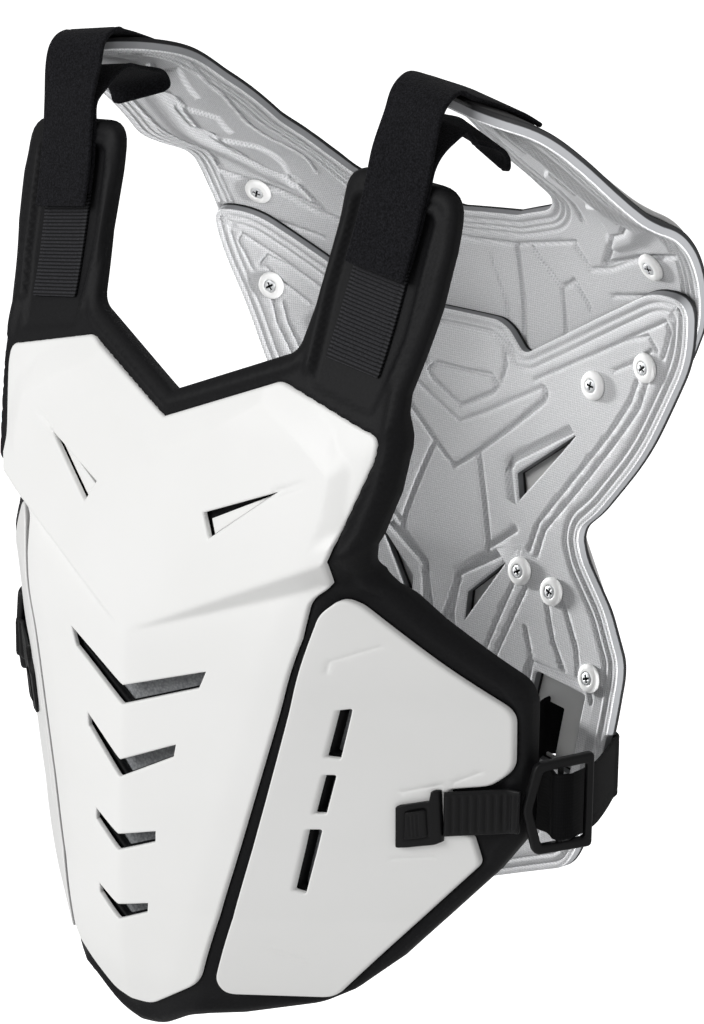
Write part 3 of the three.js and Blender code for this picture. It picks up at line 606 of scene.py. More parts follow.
both_sides = [slot for rows in RIB_SLOTS for slot in (rows, flip(rows))]
liner_body = panel(
    on_front, LINER, CHEVRON_SLOTS + both_sides, liner_top, level(LINER_BOTTOM), edges=(2.0, 1.5), pitches=(2.2, 3.0)
)
liner = put("liner_foam", liner_body, foam, "black_foam", "front_liner")


# Front lining: a thin grey knitted mesh glued to the back of the foam, a little inside its edge.
# It closes the slots from behind, so it shows as grey at the bottom of each one.
LINING_TOP = LINER_BOTTOM - GAP
LINING_THICK = 1.2
LINING = mirrored([
    (0, -138, 0), (72, -108, 5), (79, -66, 0), (81, -19, 9), (136, -24, 9), (136, -70, 0), (128, -112, 0),
    (129, -140, 0), (115, -199, 6), (140, -230, 0), (172, -262, 7), (171, -340, 7), (101, -430, 0), (56, -446, 0),
    (34, -448, 7), (10, -462, 7), (0, -463, 0),
])
# Places on it that its flat size is measured at: half its width and the height of that line, the line
# down through a tab and its ends, and the number of spots along each.
WIDE_HALF, WIDE_Z, TALL_X, TALL_Z, SPOTS = 172, -300.0, 110.0, (-19, -463), 200


def flat_map(tree):
    """The piece's flat map, in millimetres."""
    return add(tree, "Mapping", Vector=add(tree, "UVMap").outputs["UV"], Scale=(1000, 1000, 1000)).outputs["Vector"]


# Knitted polyester mesh: matt mid grey, with darker pores between small loops.
lining_knit, tree, shader = material("knitted_mesh_grey", 0.85, Specular_IOR_Level=0.25)
THREAD_MM = 1.3
knit = add(tree, "TexVoronoi", Vector=flat_map(tree), Scale=1 / THREAD_MM).outputs["Distance"]
dress(tree, shader, blend(tree, knit, "#aeb0b2", "#7f8184"), knit, strength=0.5, deep_mm=0.4)
lining_foot = level(LINING_TOP - LINING_THICK)
lining_body = panel(on_front, LINING, [], level(LINING_TOP), lining_foot, edges=(0.4, 0.4), pitches=(3.0, 3.0))
lining = put("liner_backing", lining_body, lining_knit, "grey_lining", "front_lining")
across = np.linspace((-WIDE_HALF, WIDE_Z), (WIDE_HALF, WIDE_Z), SPOTS)
down = np.linspace((TALL_X, TALL_Z[0]), (TALL_X, TALL_Z[1]), SPOTS)
runs = [on_front(line, np.full(SPOTS, LINING_TOP)) for line in (across, down)]
lining_size = [float(np.linalg.norm(np.diff(run, axis=0), axis=1).sum()) * MM for run in runs]


# Chest plate: one injection-moulded white plate, about 3 mm thick, with a keel down the middle, a
# chevron step below the breast, bevelled borders, four chevron slots and a triangular vent a side.

# White polypropylene: clean and satin, with wide soft clouds in its gloss and a barely uneven skin.
white_plastic, tree, shader = material("moulded_polypropylene_white", 0.36, Specular_IOR_Level=0.45)
flow = grains(tree, size_mm=60.0, detail=3.0)
peel = grains(tree, size_mm=5.0, detail=1.0)
dress(tree, shader, blend(tree, flow, "#f1f1ef", "#f7f7f6"), peel, strength=0.05, deep_mm=0.4)
tree.links.new(ramp(tree, flow, To_Min=0.32, To_Max=0.42), shader.inputs["Roughness"])

# Flat field of the chest, left half, and the bevels that fall away from it: towards the neck, over the
# shoulder and down the side.
CHEST_FIELD = [(0, -160), (28, -146), (57, -125), (80, -136), (104, -151), (105, -172), (101, -188)]
BEVEL_FALL = [(0, 0.13), (57, 0.13), (60, 0.17), (100, 0.17), (106, 0.24), (130, 0.24)]
BEVEL_DEEPEST = 2.5
FIELD_EDGE, FIELD_ROUND = 0.6, 1.2
# The rest of the field's outline, and the heights over the chevron step at which the bevels set in.
FIELD_REST = [(95, -234), (0, -470), (-9, -470), (-9, -160)]
OVER_STEP, OVER_STEP_FADE = 6, (4, 14)
VENT_TAIL, TAIL_HALF, TAIL_DEEP = [(77, -164), (94, -155.5)], 1.6, 1.3


def channel(away, half, depth):
    """Depth of a channel at a distance from its line: a narrow floor and eased walls."""
    bottom, top = 0.3 * half, 1.6 * half
    return depth * (1 - ease(away, bottom, top))


def groove(flat, line, half, depth, taper=False):
    """A channel along a line, dying away along it if it tapers."""
    cut = channel(distance(flat, line, closed=False), half, depth)
    if not taper:
        return cut
    start, end = np.array(line[0]), np.array(line[-1])
    along = (flat - start) @ (end - start) / np.sum((end - start) ** 2)
    return cut * np.clip(1 - along, 0, 1)


def on_both(lines):
    """Rows of half width and line, with each line's twin on the other half."""
    return [(half, [(sign * x, v) for x, v in line]) for half, line in lines for sign in (1, -1)]


def chest_top(flat):
    """Outer face: level in the field of the chest and below it, falling away outside the field's lines,
    with a tapering channel that runs on from the outer tip of each vent."""
    half = left_half(flat)
    away = distance(half, CHEST_FIELD, closed=False)
    fall = between(BEVEL_FALL, half[:, 0]) * fold(away - FIELD_EDGE, FIELD_ROUND)
    over_step = half[:, 1] - STEP_TOP[0] - STEP_TOP[1] * half[:, 0]
    outside = ~inside(half, CHEST_FIELD + FIELD_REST) & (over_step > OVER_STEP)
    bevel = np.minimum(np.where(outside, fall * ease(over_step, *OVER_STEP_FADE), 0), BEVEL_DEEPEST)
    return -bevel - groove(half, VENT_TAIL, TAIL_HALF, TAIL_DEEP, taper=True)


def chest_foot(flat):
    """Inner face, one plate thickness below the outer one."""
    return chest_top(flat) - PLATE


chest_holes = CHEVRON_SLOTS + [VENT, flip(VENT)]
chest_lines = on_both([(TAIL_HALF, VENT_TAIL), (FIELD_ROUND, CHEST_FIELD)])
chest_body = panel(
    on_front, CHEST_PLATE, chest_holes, chest_top, chest_foot, edges=(1.1, 0.3), pitches=(1.8, 7.0), side_step=1.6,
    lines=chest_lines,
)
put("chest_plate", chest_body, white_plastic, "white_plate", "front_centre_plate")


# Rib plates: a white moulded plate on each flank, cut out at the back for the strap catch, with three
# slots and a few faint mould lines. Vent floors: small white islands of the same plastic in the pockets.
MOULD_LINES = [
    [(106, -250), (107, -245), (126, -237)], [(76, -408), (91, -416)], [(131, -317), (147, -312.5)],
    [(151, -311.5), (161, -306)], [(126, -355), (142, -354)],
]
VENT_INSERT = [(73.5, -166.4, 0), (43.6, -190.9, 0), (40.0, -184.0, 0)]
MOULD_HALF, MOULD_DEEP = 0.8, 0.35
ISLAND_TOP = -3.6


def engraved(flat, lines, half, depth):
    """Depth cut by lines that are all alike: the deepest of their channels."""
    return np.max([groove(flat, line, half, depth) for line in lines], 0)


def rib_top(flat):
    """Outer face: level, with faint engraved lines."""
    return -engraved(flat, MOULD_LINES, MOULD_HALF, MOULD_DEEP)


def put_pairs(*rows):
    """Pieces of the left side and their twins on the right, from rows of name, body, finish, slot, solid."""
    for side, mirror in (("left", False), ("right", True)):
        for name, body, finish, slot, node in rows:
            put(f"{name}_{side}", body, finish, slot, f"{node}_{side}", mirror=mirror)


rib_body = panel(
    on_front, RIB_PLATE, RIB_SLOTS, rib_top, level(-PLATE), edges=(1.1, 0.3), pitches=(2.0, 7.0), side_step=1.4,
    lines=[(MOULD_HALF, line) for line in MOULD_LINES],
)
insert_body = panel(
    on_front, VENT_INSERT, [], level(ISLAND_TOP), level(VENT_FLOOR + GAP), edges=(0.4, 0.2), pitches=(2.0, 3.0),
    side_step=1.0,
)
put_pairs(
    ("rib_plate", rib_body, white_plastic, "white_plate", "front_side_plate"),
    ("vent_floor", insert_body, white_plastic, "white_plate", "vent_insert"),
)


# Hook tapes: a strip of ribbed black hook tape sewn into the sunken floor of each shoulder tab.
# Rows of hooks run across it, 1.75 mm apart, between plain woven margins.
HOOK_PITCH = 1.75
HOOK_RISE = 0.8
HOOK_THICK, HOOK_HALF, HOOK_LEAN = 1.2, 16, 0.15
HOOK_ENDS, HOOK_ROUND = (-103, -38), 1.5
# The ridges set in over this distance from the tape's edge; the sewn border stands up and ends over that.
RIDGES_BEGIN, BORDER_ENDS, BORDER_RISE = (2.2, 3.4), (1.6, 2.4), 0.25
# Middle of the shoulder strap: distance from the centre line at a height, and its lean.
AXIS_X, AXIS_Z, AXIS_LEAN = 101, -104, 0.097
# A wave texture repeats once in this many units at scale 1.
WAVE = np.pi / 10


def strap_axis(z):
    """Distance from the centre line of the middle of the shoulder strap at height z."""
    return AXIS_X + AXIS_LEAN * (z - AXIS_Z)


def hook_corner(z, s):
    """A corner of the hook tape, s half widths from the strap's axis."""
    return (strap_axis(z) + s * HOOK_HALF, z - s * HOOK_LEAN * HOOK_HALF, HOOK_ROUND)


HOOK_TAPE = [hook_corner(z, way * s) for z, way in zip(HOOK_ENDS, (1, -1)) for s in (-1, 1)]


def hook_top(flat):
    """Tape face: a row of ridges across the strap's axis, fading into the margins."""
    across = flat[:, 0] - strap_axis(flat[:, 1])
    along = flat[:, 1] + HOOK_LEAN * across
    ridge = 0.5 + 0.5 * np.cos(2 * np.pi * along / HOOK_PITCH)
    edge = distance(flat, corners(HOOK_TAPE))
    border = BORDER_RISE * (1 - ease(edge, *BORDER_ENDS))
    return TAB_FLOOR + GAP + HOOK_THICK + HOOK_RISE * ridge * ease(edge, *RIDGES_BEGIN) + border


def waves(tree, flat, direction, pitch_mm, **inputs):
    """Waves along the X or the Y of a flat map, one every pitch."""
    settings = {"bands_direction": direction}
    return add(tree, "TexWave", settings, Vector=flat, Scale=WAVE / pitch_mm, **inputs).outputs["Fac"]


# Woven hook nylon: black and dull, with a grey glint painted into its colour on the crests of the rows of tiny hooks,
# a painted highlight.
hook_nylon, tree, shader = material("woven_hook_nylon_black", 0.7, Specular_IOR_Level=0.18)
flat_mm = flat_map(tree)
HOOK_MM = 0.8
hooks = add(tree, "TexNoise", Vector=flat_mm, Scale=1 / HOOK_MM, Detail=2.0).outputs["Fac"]
ridge_glint = maths(tree, "MULTIPLY", waves(tree, flat_mm, "Y", HOOK_PITCH, Phase_Offset=np.pi / 2), hooks)
dress(tree, shader, blend(tree, ridge_glint, "#060607", "#48484c"), ridge_glint, strength=0.5, deep_mm=0.5)
hook_body = panel(
    on_front, HOOK_TAPE, [], hook_top, level(TAB_FLOOR + GAP), edges=(0.4, 0.2), pitches=(0.45, 5.0), side_step=1.0
)
hook_across = hook_body[2][:, 0] - strap_axis(hook_body[2][:, 1])
hook_body[2][:] = np.stack([hook_across, hook_body[2][:, 1] + HOOK_LEAN * hook_across], 1)
put_pairs(("hook_tape", hook_body, hook_nylon, "hook_fabric", "hook_patch"))


# Back panel: soft foam laminated with silver-grey cloth inside and black skin outside, heat-pressed so
# that channels and double lines run along its edges, with two wings, angular vents and strap slots.
PANEL_THICK = 8.0
# Profile of the back: rows of y and z, from below its foot to the tips of the arms. Runs are measured along it.
BACK_PROFILE = np.array([
    (90, -480), (91, -450), (94, -400), (98, -350), (104, -300), (112, -250), (121, -200), (126, -146), (122, -115),
    (116, -95), (102, -70), (81, -54), (55, -37), (22, -13), (-1, 1.7), (-27.4, 11), (-62, 19),
], float)
PROFILE_START = -388.4
# The arms bow out and come back over these runs, and lean over that one, by a slope about a line.
ARM_BOW, BOW_OUT, BOW_BACK = 9.0, (25, 85), (125, 180)
LEAN, LEAN_ABOUT, LEAN_IN = 0.15, 80, (0, 80)
HOLLOW = 0.0009


def run_along(points):
    """Distance along a row of points, from 0."""
    return np.concatenate([[0], np.cumsum(np.linalg.norm(np.diff(points, axis=0), axis=1))])


BACK_RUN = PROFILE_START + run_along(BACK_PROFILE)


def back_bare(x, t):
    """The back's inner face at x and run t: a profile from the lower edge up the back and over the
    shoulders, hollowed across the width, with its arms bowed out and leaning down outward."""
    x = x + np.sign(x) * ARM_BOW * ease(t, *BOW_OUT) * (1 - ease(t, *BOW_BACK))
    lean = LEAN * ease(t, *LEAN_IN) * (np.abs(x) - LEAN_ABOUT)
    y, z = (through(np.stack([BACK_RUN, BACK_PROFILE[:, k]], 1), t) for k in range(2))
    return np.stack([x, y - HOLLOW * x * x, z - lean], 1)


def on_back(flat, w):
    """Points at height w outward of the back's inner face, for rows of x and run."""
    x, t = flat[:, 0], flat[:, 1]
    reach = 1.0
    along = back_bare(x, t + reach) - back_bare(x, t - reach)
    across = back_bare(x + reach, t) - back_bare(x - reach, t)
    return back_bare(x, t) + unit(np.cross(along, across)) * w[:, None]


# Outlines of the back: rows of x, run and corner radius.
PANEL = mirrored([
    (0, -47, 0), (22, -47, 4), (30, -51, 3), (41, -63, 5), (95, -31, 0), (139, -5.5, 12), (166, -4.5, 14),
    (161.5, -38, 60), (148, -66.5, 60), (133.5, -98.5, 60), (106, -137, 6), (95.5, -147.5, 5), (94.5, -155, 4),
    (99.5, -165.5, 5), (121, -188, 6), (135.5, -212, 6), (136.5, -222, 4), (133.5, -256, 60), (116, -330, 9),
    (108, -343, 8), (50, -371, 8), (0, -378, 0),
])
BACK_VENTS = [
    [(84, -99, 0), (45, -130, 0), (49, -144, 0)],
    [(45, -181, 0), (20, -205, 0), (20, -221, 0)],
]
STRAP_SLOT = [(76, -236, 2), (114, -238, 2), (107, -287, 2), (68, -284.5, 2)]
# Pressed channels of the left half: half width, depth and the line in x and run.
PANEL_CHANNELS = [
    (1.5, 1.4, [(0, -55), (18, -55), (27, -60), (29, -72), (27, -80)]),
    (1.3, 1.2, [(24, -52), (30, -57), (35, -69)]),
    (1.5, 1.2, [(0, -80), (20, -79), (25, -84), (21, -89), (0, -100)]),
    (1.7, 1.6, [(0, -135), (2, -134), (16, -123), (38, -104), (58, -86), (60, -81), (57, -78)]),
    (1.5, 0.7, [(0, -109), (18, -100), (32, -92), (57, -78)]),
    (2.0, 1.6, [(16, -125), (24, -149), (30, -170), (31, -180)]),
    (2.6, 1.8, [(85, -94), (37, -125), (44, -147)]),
    (2.0, 1.4, [(33, -174), (48, -162)]),
    (1.9, 1.5, [(31, -180), (12, -195), (8, -210), (2, -231), (0, -240)]),
    (2.6, 1.8, [(9, -223), (12, -195), (42, -176), (47, -177)]),
    (1.2, 1.0, [(132, -59), (128, -73), (117, -90), (93, -124), (70, -156), (67, -171)]),
    (1.2, 1.0, [(125, -60), (121, -72), (109, -91), (85, -124), (65, -153), (61, -169)]),
    (1.2, 1.0, [(52, -192), (34, -242), (24, -290), (22, -340)]),
    (1.2, 1.0, [(62, -191), (42, -243), (33, -290), (31, -335)]),
    (1.2, 0.9, [(79, -197), (86, -215), (97, -231)]),
    (1.2, 0.9, [(91, -193), (104, -214), (108, -230)]),
    (1.2, 0.8, [(65, -214), (71, -229), (66, -246), (61, -290)]),
    (1.3, 1.0, [(69, -258), (72, -231), (78, -231), (117, -233), (119, -240)]),
    (1.2, 0.9, [(51, -75), (81, -58), (115, -39), (134, -32), (139, -38)]),
    (1.2, 0.9, [(116, -38), (148, -20), (151, -25), (144, -42)]),
    (1.2, 0.8, [(107, -58), (128, -46), (135, -40)]),
    (1.3, 0.9, [(0, -262), (14, -276), (14, -330), (0, -342)]),
    (1.3, 0.9, [(46, -300), (92, -300), (86, -330), (52, -346), (44, -330), (46, -300)]),
]
# Lines that follow the outline: distance in from it, half width and depth.
PANEL_RIMS = [(4.5, 0.9, 1.4), (9.0, 0.9, 1.4)]
PRESS, LINE_WIDTH = 1.8, 0.8


def pressed(flat, channels, outline, rims):
    """Depth pressed into the cloth face: the deepest of the channels and of the lines that follow the
    outline at set distances, on both halves alike."""
    half = left_half(flat)
    depth = np.zeros(len(flat))
    for half_width, deep, line in channels:
        depth = np.maximum(depth, PRESS * groove(half, line, LINE_WIDTH * half_width, deep))
    edge = distance(flat, corners(outline))
    for offset, half_width, deep in rims:
        depth = np.maximum(depth, channel(np.abs(edge - offset), half_width, deep))
    return depth


def panel_inner(flat):
    """Cloth face of the back panel."""
    return pressed(flat, PANEL_CHANNELS, PANEL, PANEL_RIMS)


def pressed_lines(channels):
    """Half widths and lines of channels, on both halves."""
    return on_both([(LINE_WIDTH * half_width, line) for half_width, _, line in channels])


# Silver-grey laminated cloth: a fine dense weave with a faint sheen; the outer skin is black and matt.
# The weave is drawn 1.3 mm apart, coarser than the real thread, so that it shows.
silver_cloth, tree, shader = material("laminated_cloth_silver", 0.7, Specular_IOR_Level=0.12)
flat_mm = flat_map(tree)
CLOTH_THREAD_MM = 1.3
warp, weft = (waves(tree, flat_mm, way, CLOTH_THREAD_MM, Distortion=1.2) for way in "XY")
fuzz = add(tree, "TexNoise", Vector=flat_mm, Scale=1.0, Detail=3.0).outputs["Fac"]
cloth = maths(tree, "MULTIPLY", maths(tree, "MAXIMUM", warp, weft), fuzz)
share = add(tree, "Attribute", {"attribute_name": "share"}).outputs["Fac"]
wall = ramp(tree, share, From_Min=0.2, From_Max=0.3)
skin = ramp(tree, share, From_Min=0.53, From_Max=0.55)
tone = blend(tree, wall, blend(tree, cloth, "#b2b3b5", "#f3f3f4"), "#77787a")
grain = maths(tree, "MULTIPLY", cloth, maths(tree, "SUBTRACT", 1.0, wall))
dress(tree, shader, blend(tree, skin, tone, "#19191a"), grain, strength=0.5, deep_mm=0.5)

panel_holes = [rows for hole in BACK_VENTS + [STRAP_SLOT] for rows in (hole, flip(hole))]
panel_body = panel(
    on_back, PANEL, panel_holes, level(PANEL_THICK), panel_inner, edges=(1.2, 1.4), pitches=(7.0, 1.9), border=(0, 9),
    lines=pressed_lines(PANEL_CHANNELS),
)
back_pad = put("back_panel_pad", panel_body, silver_cloth, "silver_foam", "back_panel")


# Back yoke: the upper pad of the same laminate, screwed over the panel's wings, with two arms that go
# over the shoulders. Its arms have raised padded blocks and long ribs pressed into the cloth.
YOKE_FOOT = PANEL_THICK + GAP
YOKE_THICK = 7.0
YOKE_TOP = YOKE_FOOT + YOKE_THICK
YOKE = mirrored([
    (0, 11, 0), (40, 15, 0), (68, 24, 8), (75, 36, 18), (70, 62, 60), (67, 100, 100), (71, 132, 80), (80, 164, 30),
    (92, 184, 8), (104, 190, 6), (136, 190, 8), (147, 179, 8), (148, 150, 60), (153, 102, 100), (161, 70, 80),
    (165.5, 40, 80), (168.5, 10, 14), (164, -22, 10), (150, -48, 8), (118, -72, 0), (60, -78, 0), (0, -78, 0),
])
YOKE_CHANNELS = [
    (1.8, 1.8, [(34, -5), (34, -49), (35, -66)]),
    (1.6, 1.4, [(46, -4), (55, -15), (63, -23), (64, -48)]),
    (1.5, 1.2, [(63, -23), (73, -17), (83, -31)]),
    (1.4, 1.0, [(78, 6), (86, -8), (101, -5), (120, 4)]),
    (1.3, 1.0, [(0, -6), (33, -4), (80, 7)]),
    (1.8, 1.6, [(112, 19), (98, -3), (126, 8), (155, 16)]),
    (1.8, 1.7, [(137, 150), (137, 133), (144, 77), (155, 20)]),
    (1.4, 1.2, [(83, 150), (83, 113), (92, 60), (91, 23)]),
    (2.0, 1.3, [(106, 152), (115, 97), (124, 53), (127, 36)]),
    (1.2, 0.8, [(14, -14), (22, -40), (24, -66)]),
    (1.2, 0.8, [(100, -20), (128, -14), (146, -20)]),
]
YOKE_RIMS = [(4.5, 0.9, 1.4), (8.0, 0.9, 1.3), (11.5, 0.9, 1.2)]
ARM_RIB = [(112, 156), (124, 99), (133, 55), (136, 34), (126, 22), (111, 14)]
RIB_HALF, RIB_RISE = 4.2, 3.4
ARM_PADS = [
    [(90, 150), (108, 146), (113, 124), (98, 112)],
    [(99, 93), (117, 112), (122, 84), (105, 69)],
    [(107, 51), (124, 68), (131, 38), (122, 24), (109, 18)],
]
PAD_RISE, PAD_WALL, PAD_HALF = 2.6, (0, 2.2), 1.6
RELIEF_ENDS = (156, 140)


def yoke_inner(flat):
    """Cloth face of the yoke: pressed lines, with a rounded rib and three pads that stand up on each arm."""
    half = left_half(flat)
    rise = groove(half, ARM_RIB, RIB_HALF, RIB_RISE)
    for pad in ARM_PADS:
        deep = np.where(inside(half, pad), distance(half, pad), 0)
        rise = np.maximum(rise, PAD_RISE * ease(deep, *PAD_WALL))
    return YOKE_FOOT + pressed(flat, YOKE_CHANNELS, YOKE, YOKE_RIMS) - rise * ease(half[:, 1], *RELIEF_ENDS)


yoke_body = panel(
    on_back, YOKE, [], level(YOKE_TOP), yoke_inner, edges=(1.2, 1.4), pitches=(7.0, 1.8), border=(0, 13),
    lines=pressed_lines(YOKE_CHANNELS) + on_both([(PAD_HALF, pad + pad[:1]) for pad in ARM_PADS]),
)
yoke = put("back_yoke_pad", yoke_body, silver_cloth, "silver_foam", "back_yoke")


# Back plates: two white moulded plates outside the foam, one over the shoulder blades and one down the
# spine, with a raised spine rib and edges turned down. Screws from inside hold them.
BACK_PLATE = 2.5
UPPER_PLATE = mirrored([
    (0, 0, 0), (52, 6, 6), (84, 30, 8), (82, 70, 0), (84, 112, 10), (136, 112, 10), (150, 70, 0), (160, 20, 10),
    (150, -30, 10), (108, -62, 8), (0, -68, 0),
])
LOWER_PLATE = mirrored([
    (0, -82, 0), (122, -82, 8), (127, -98, 8), (98, -138, 8), (90, -152, 6), (114, -186, 8), (129, -214, 8),
    (129, -256, 0), (109, -326, 10), (48, -358, 8), (0, -364, 0),
])
PLATE_SLOT = [(75, -253.5, 1), (92, -254.5, 1), (88, -285, 1), (70, -283.5, 1)]
PLATE_SLOTS = [PLATE_SLOT, flip(PLATE_SLOT)]
SPINE_RIB, SPINE_HALF, SPINE_RISE = [(0, -96), (0, -350)], 9.0, 2.0
RELIEF_HALF, RELIEF_DEEP = 1.6, 0.8
UPPER_LINES = [[(0, -20), (60, -14), (110, 20), (112, 96)], [(0, -44), (90, -38), (136, 0)]]
LOWER_LINES = [
    [(30, -100), (22, -180), (30, -260), (22, -345)], [(60, -96), (96, -100), (72, -150), (104, -200)],
    [(56, -200), (50, -290), (40, -340)],
]


def moulded(base, lines, rib):
    """Outer face of a back plate: level, with a raised rib on the middle and engraved lines on both halves."""

    def height(flat):
        half = left_half(flat)
        lift = groove(half, rib, SPINE_HALF, SPINE_RISE) if rib else 0.0
        return base - engraved(half, lines, RELIEF_HALF, RELIEF_DEEP) + lift

    return height


# Columns name, solid, outline, holes, engraved lines, raised rib, foot, pitch of the inner face.
for name, node, outline, holes, lines, rib, foot, inner_pitch in [
    ("shoulder_blade_plate", "back_upper_plate", UPPER_PLATE, [], UPPER_LINES, None, YOKE_TOP + GAP, 7.0),
    ("spine_plate", "back_lower_plate", LOWER_PLATE, PLATE_SLOTS, LOWER_LINES, SPINE_RIB, YOKE_FOOT, 5.0),
]:
    plate_body = panel(
        on_back, outline, holes, moulded(foot + BACK_PLATE, lines, rib), level(foot), edges=(1.0, 0.3),
        pitches=(3.0, inner_pitch), lines=on_both([(RELIEF_HALF, line) for line in lines]),
    )
    put(name, plate_body, white_plastic, "white_plate", node)


# Shoulder straps: fuzzy black loop cloth with a sewn border. Each one is fixed over the arm of the yoke,
# wraps its tip and presses on to the hook tape; a second tongue runs under the arm to the same tab.
STRAP_WIDTH = 36.0
STRAP_THICK = 2.4
STRAP_STEP = 1.2
HOOKS_PRESSED, ARM_CLEAR = 1.5, 0.9
TAB_SKEW, AIR_TILT = 2.6, 2.4
HOOK_FACE = TAB_FLOOR + GAP + HOOKS_PRESSED
TONGUE_MID = HOOK_FACE + GAP + STRAP_THICK / 2
STRAP_MID = TONGUE_MID + STRAP_THICK + GAP
OVER_ARM = YOKE_TOP + ARM_CLEAR + STRAP_THICK / 2
UNDER_ARM = YOKE_FOOT - GAP - STRAP_THICK / 2


def on_tab(z, w):
    """Strap edges, inner and outer, on the shoulder tab at height z."""
    flat = [(strap_axis(z) + s * STRAP_WIDTH / 2, z - s * TAB_SKEW) for s in (-1, 1)]
    return on_front(np.array(flat), np.full(2, w))


def on_arm(x, t, w, hang=0.0):
    """Strap edges, inner and outer, on the arm of the yoke at run t; the outer one may hang lower."""
    reach = np.sqrt(STRAP_WIDTH**2 - hang**2) / 2
    return on_back(np.array([(x - reach, t), (x + reach, t)]), np.array([w, w - hang]))


def in_air(x, y, z):
    """Strap edges, inner and outer, where the strap crosses the gap at the shoulder's front."""
    half = np.array([STRAP_WIDTH / 2, -AIR_TILT, -AIR_TILT])
    return np.stack([(x, y, z) - half, (x, y, z) + half])


STRAP_STATIONS = np.stack([
    *(on_tab(z, STRAP_MID) for z in (-58, -38, -18, -4)),
    in_air(112, -64.5, 12), in_air(112.8, -61, 21), in_air(113.3, -55.5, 26), in_air(113.6, -48.5, 27.6),
    on_arm(113.8, 190, OVER_ARM + 0.6), *(on_arm(x, t, OVER_ARM) for x, t in ((114, 180), (114.5, 158), (115, 146))),
])
TONGUE_STATIONS = np.stack([
    *(on_tab(z, TONGUE_MID) for z in (-52, -36, -19, -7)),
    in_air(111.4, -60.5, 0), in_air(112.2, -52.5, 5), in_air(112.8, -43, 8),
    *(on_arm(x, t, UNDER_ARM - sag, hang) for x, t, sag, hang in (
        (113.2, 177, 6, 3), (112.8, 166, 5, 4), (112.4, 157, 4, 5), (112.2, 151, 5.5, 6), (112, 146, 10, 7)
    )),
])


def band_grid(run, across, face_up, face_down):
    """Rings round a band's section, one at each run: run, share of the half width, height over the middle."""
    along, share = np.meshgrid(run, np.concatenate([across, across[::-1]]), indexing="ij")
    m = len(across)
    height = np.concatenate([face_up(along[:, :m], share[:, :m]), face_down(along[:, m:], share[:, m:])], 1)
    return along, share, height


def ribbon(stations, step, across, face_up, face_down, round_end=0.0):
    """A flat band through pairs of edge points: a smooth curve through the pairs, cut every step, with
    points across at shares of the half width and at heights over and under the middle. The two faces
    give those heights for distance along and share across; the last end may be rounded."""
    middle, half = stations.mean(1), (stations[:, 1] - stations[:, 0]) / 2
    run = run_along(middle)
    s = np.linspace(0, run[-1], int(run[-1] / step) + 1)
    centre, arm = (
        np.stack([through(np.stack([run, line[:, k]], 1), s) for k in range(3)], 1) for line in (middle, half)
    )
    normal = unit(np.cross(np.gradient(centre, axis=0), arm))
    width = np.linalg.norm(arm, axis=1)
    left = np.clip(round_end - (run[-1] - s), 0, round_end)
    narrow = 1 - (round_end - np.sqrt(np.maximum(round_end**2 - left**2, 0))) / width
    along, share, height = band_grid(s, across, face_up, face_down)
    aside = arm[:, None] * (share * narrow[:, None])[..., None]
    points = centre[:, None] + aside + normal[:, None] * height[..., None]
    return grid_body(points, np.stack([along, share * width[:, None]], -1))


def grid_body(points, flat, closed=False):
    """A closed body from rings of points: neighbouring rings are joined, and the two end rings are
    closed by strips between their upper and lower halves unless the rings run in a loop."""
    n, m = points.shape[:2]
    ring, spot = np.meshgrid(np.arange(n if closed else n - 1), np.arange(m), indexing="ij")
    a, b = ring * m + spot, ring * m + (spot + 1) % m
    c, d = (ring + 1) % n * m + (spot + 1) % m, (ring + 1) % n * m + spot
    faces = [np.stack([a, b, c], -1).reshape(-1, 3), np.stack([a, c, d], -1).reshape(-1, 3)]
    if not closed:
        k = np.arange(m // 2 - 1)
        for start, way in ((0, 1), ((n - 1) * m, -1)):
            quad = np.stack([start + k, start + m - 1 - k, start + m - 2 - k, start + k + 1], 1)[:, ::way]
            faces += [quad[:, [0, 1, 2]], quad[:, [0, 2, 3]]]
    return points.reshape(-1, 3), np.concatenate(faces), flat.reshape(-1, 2), np.zeros(n * m)


def strap_share(width, edge):
    """Shares of the half width, crowded towards the two edges."""
    inner = np.linspace(-1, 1, 25) * (1 - 2 * edge / width)
    rim = 1 - np.array([0, 0.04, 0.14, 0.3, 0.55]) * 2 * edge / width
    return np.concatenate([-rim, inner[1:-1], rim[::-1]])


SEAM_DEEP, SEAM_HALF = 0.35, 0.8


def band_faces(thick, width, seam):
    """Heights of a band's two faces: flat, rounded to nothing at the edges, with a sewn line pressed in."""

    def height(along, share):
        edge = (1 - np.abs(share)) * width / 2
        roll = np.sqrt(np.clip(1 - (1 - np.clip(edge / (thick / 2), 0, 1)) ** 2, 0, 1))
        line = SEAM_DEEP * np.exp(-(((edge - seam) / SEAM_HALF) ** 2)) if seam else 0.0
        return thick / 2 * roll - line

    return height, lambda along, share: -height(along, share)


# Brushed loop nylon: deep black, a short dense nap that catches a little light in flecks.
loop_nylon, tree, shader = material(
    "brushed_loop_nylon_black", 0.95, Specular_IOR_Level=0.06, Sheen_Weight=0.04, Sheen_Roughness=0.5
)
nap = grains(tree, size_mm=0.9, detail=4.0, Roughness=0.65)
fleck = ramp(tree, nap, From_Min=0.4, From_Max=0.72)
dress(tree, shader, blend(tree, fleck, "#101012", "#2a2a2e"), nap, strength=0.8, deep_mm=1.0)

